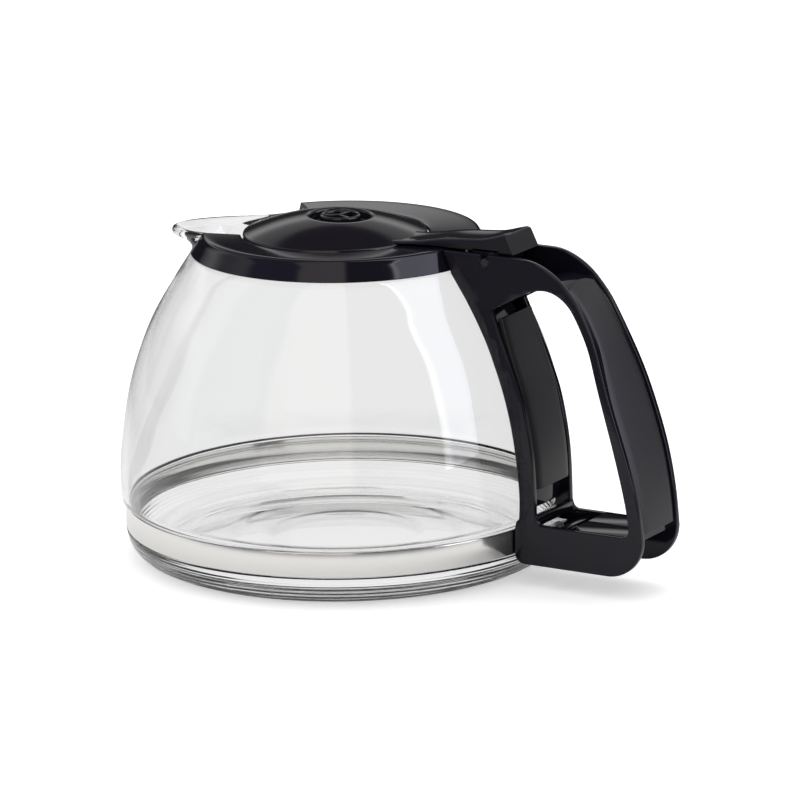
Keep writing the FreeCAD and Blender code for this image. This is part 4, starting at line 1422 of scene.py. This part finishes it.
    def camera(self) -> None:
        """Camera with a small roll, on a long lens."""
        spot = Vector(self.camera_at)
        ahead = (Vector(self.look_at) - spot).normalized()
        right = ahead.cross(Vector((0, 0, 1))).normalized()
        up = right.cross(ahead)
        roll = math.radians(self.roll_deg)
        turned_right = math.cos(roll) * right + math.sin(roll) * up
        turned_up = -math.sin(roll) * right + math.cos(roll) * up
        axes = Matrix((turned_right, turned_up, -ahead)).transposed().to_4x4()
        data = bpy.data.cameras.new("camera")
        data.lens = self.lens
        data.sensor_width = 36.0
        data.clip_start = 0.05
        camera = bpy.data.objects.new("camera", data)
        camera.matrix_world = Matrix.Translation(spot) @ axes
        bpy.context.scene.collection.objects.link(camera)
        bpy.context.scene.camera = camera

    def build(self) -> None:
        """Sets up the whole studio."""
        self.floor()
        self.world()
        self.lights()
        self.camera()
        bpy.context.scene.view_settings.view_transform = "Standard"


# ---- main ------------------------------------------------------------------------
def dress_nodes(materials: dict[Slot, bpy.types.Material]) -> None:
    """Gives the CAD nodes that stay their own finish."""
    finishes = {
        "band_yoke": Slot.ZINC,
        "clamp_washer": Slot.ZINC,
        "clamp_screw": Slot.ZINC,
        "collar_screws": Slot.ZINC,
        "hinge_pin": Slot.PIN,
        "lid_plate": Slot.SATIN,
    }
    for node, slot in finishes.items():
        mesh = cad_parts[node].data
        mesh.materials.clear()
        mesh.materials.append(materials[slot])
        LOG.info("%s keeps its CAD shape", node)


def make_materials() -> dict[Slot, bpy.types.Material]:
    """Builds one material for each slot."""
    finishes = {
        Slot.GLASS: GlassFinish("clear_glass", (0.994, 0.997, 0.995)),
        Slot.STEEL: SteelFinish("polished_steel", (0.74, 0.73, 0.71), 0.07),
        Slot.ZINC: SteelFinish("zinc_steel", (0.55, 0.56, 0.58), 0.28, 1500.0, 0.02),
        Slot.GLOSS: PlasticFinish("gloss_black", (0.006, 0.005, 0.009), 0.09, 0.25, bump=0.006),
        Slot.LID_GLOSS: PlasticFinish("gloss_black_lid", (0.009, 0.008, 0.011), 0.12, 0.3, bump=0.006),
        Slot.SATIN: PlasticFinish(
            "satin_black", (0.009, 0.009, 0.010), 0.42, 0.35, 3200.0, 1.0, 0.2, 0.08, 0.03),
        Slot.PIN: PlasticFinish("pin_black", (0.01, 0.01, 0.012), 0.3, 0.5),
    }
    return {slot: finish.build() for slot, finish in finishes.items()}


def main() -> None:
    """Builds every sub-assembly in order, then the studio."""
    logging.basicConfig(level=logging.INFO, format="%(name)s: %(message)s")
    materials = make_materials()
    GlassJug().build(materials[Slot.GLASS])
    BaseBand().build(materials[Slot.STEEL])
    RimCollar().build(materials[Slot.GLOSS])
    shape = HandleShape()
    HandleFrame(shape).build(materials[Slot.GLOSS])
    covers = CoverStrip(shape)
    covers.build_grip(materials[Slot.SATIN])
    covers.build_spine(materials[Slot.SATIN])
    LevelMarks(shape).build(materials[Slot.GLOSS])
    LidCover().build(materials[Slot.LID_GLOSS])
    InletRing().build(materials[Slot.LID_GLOSS])
    dress_nodes(materials)
    Studio().build()


if __name__ == "__main__":
    main()
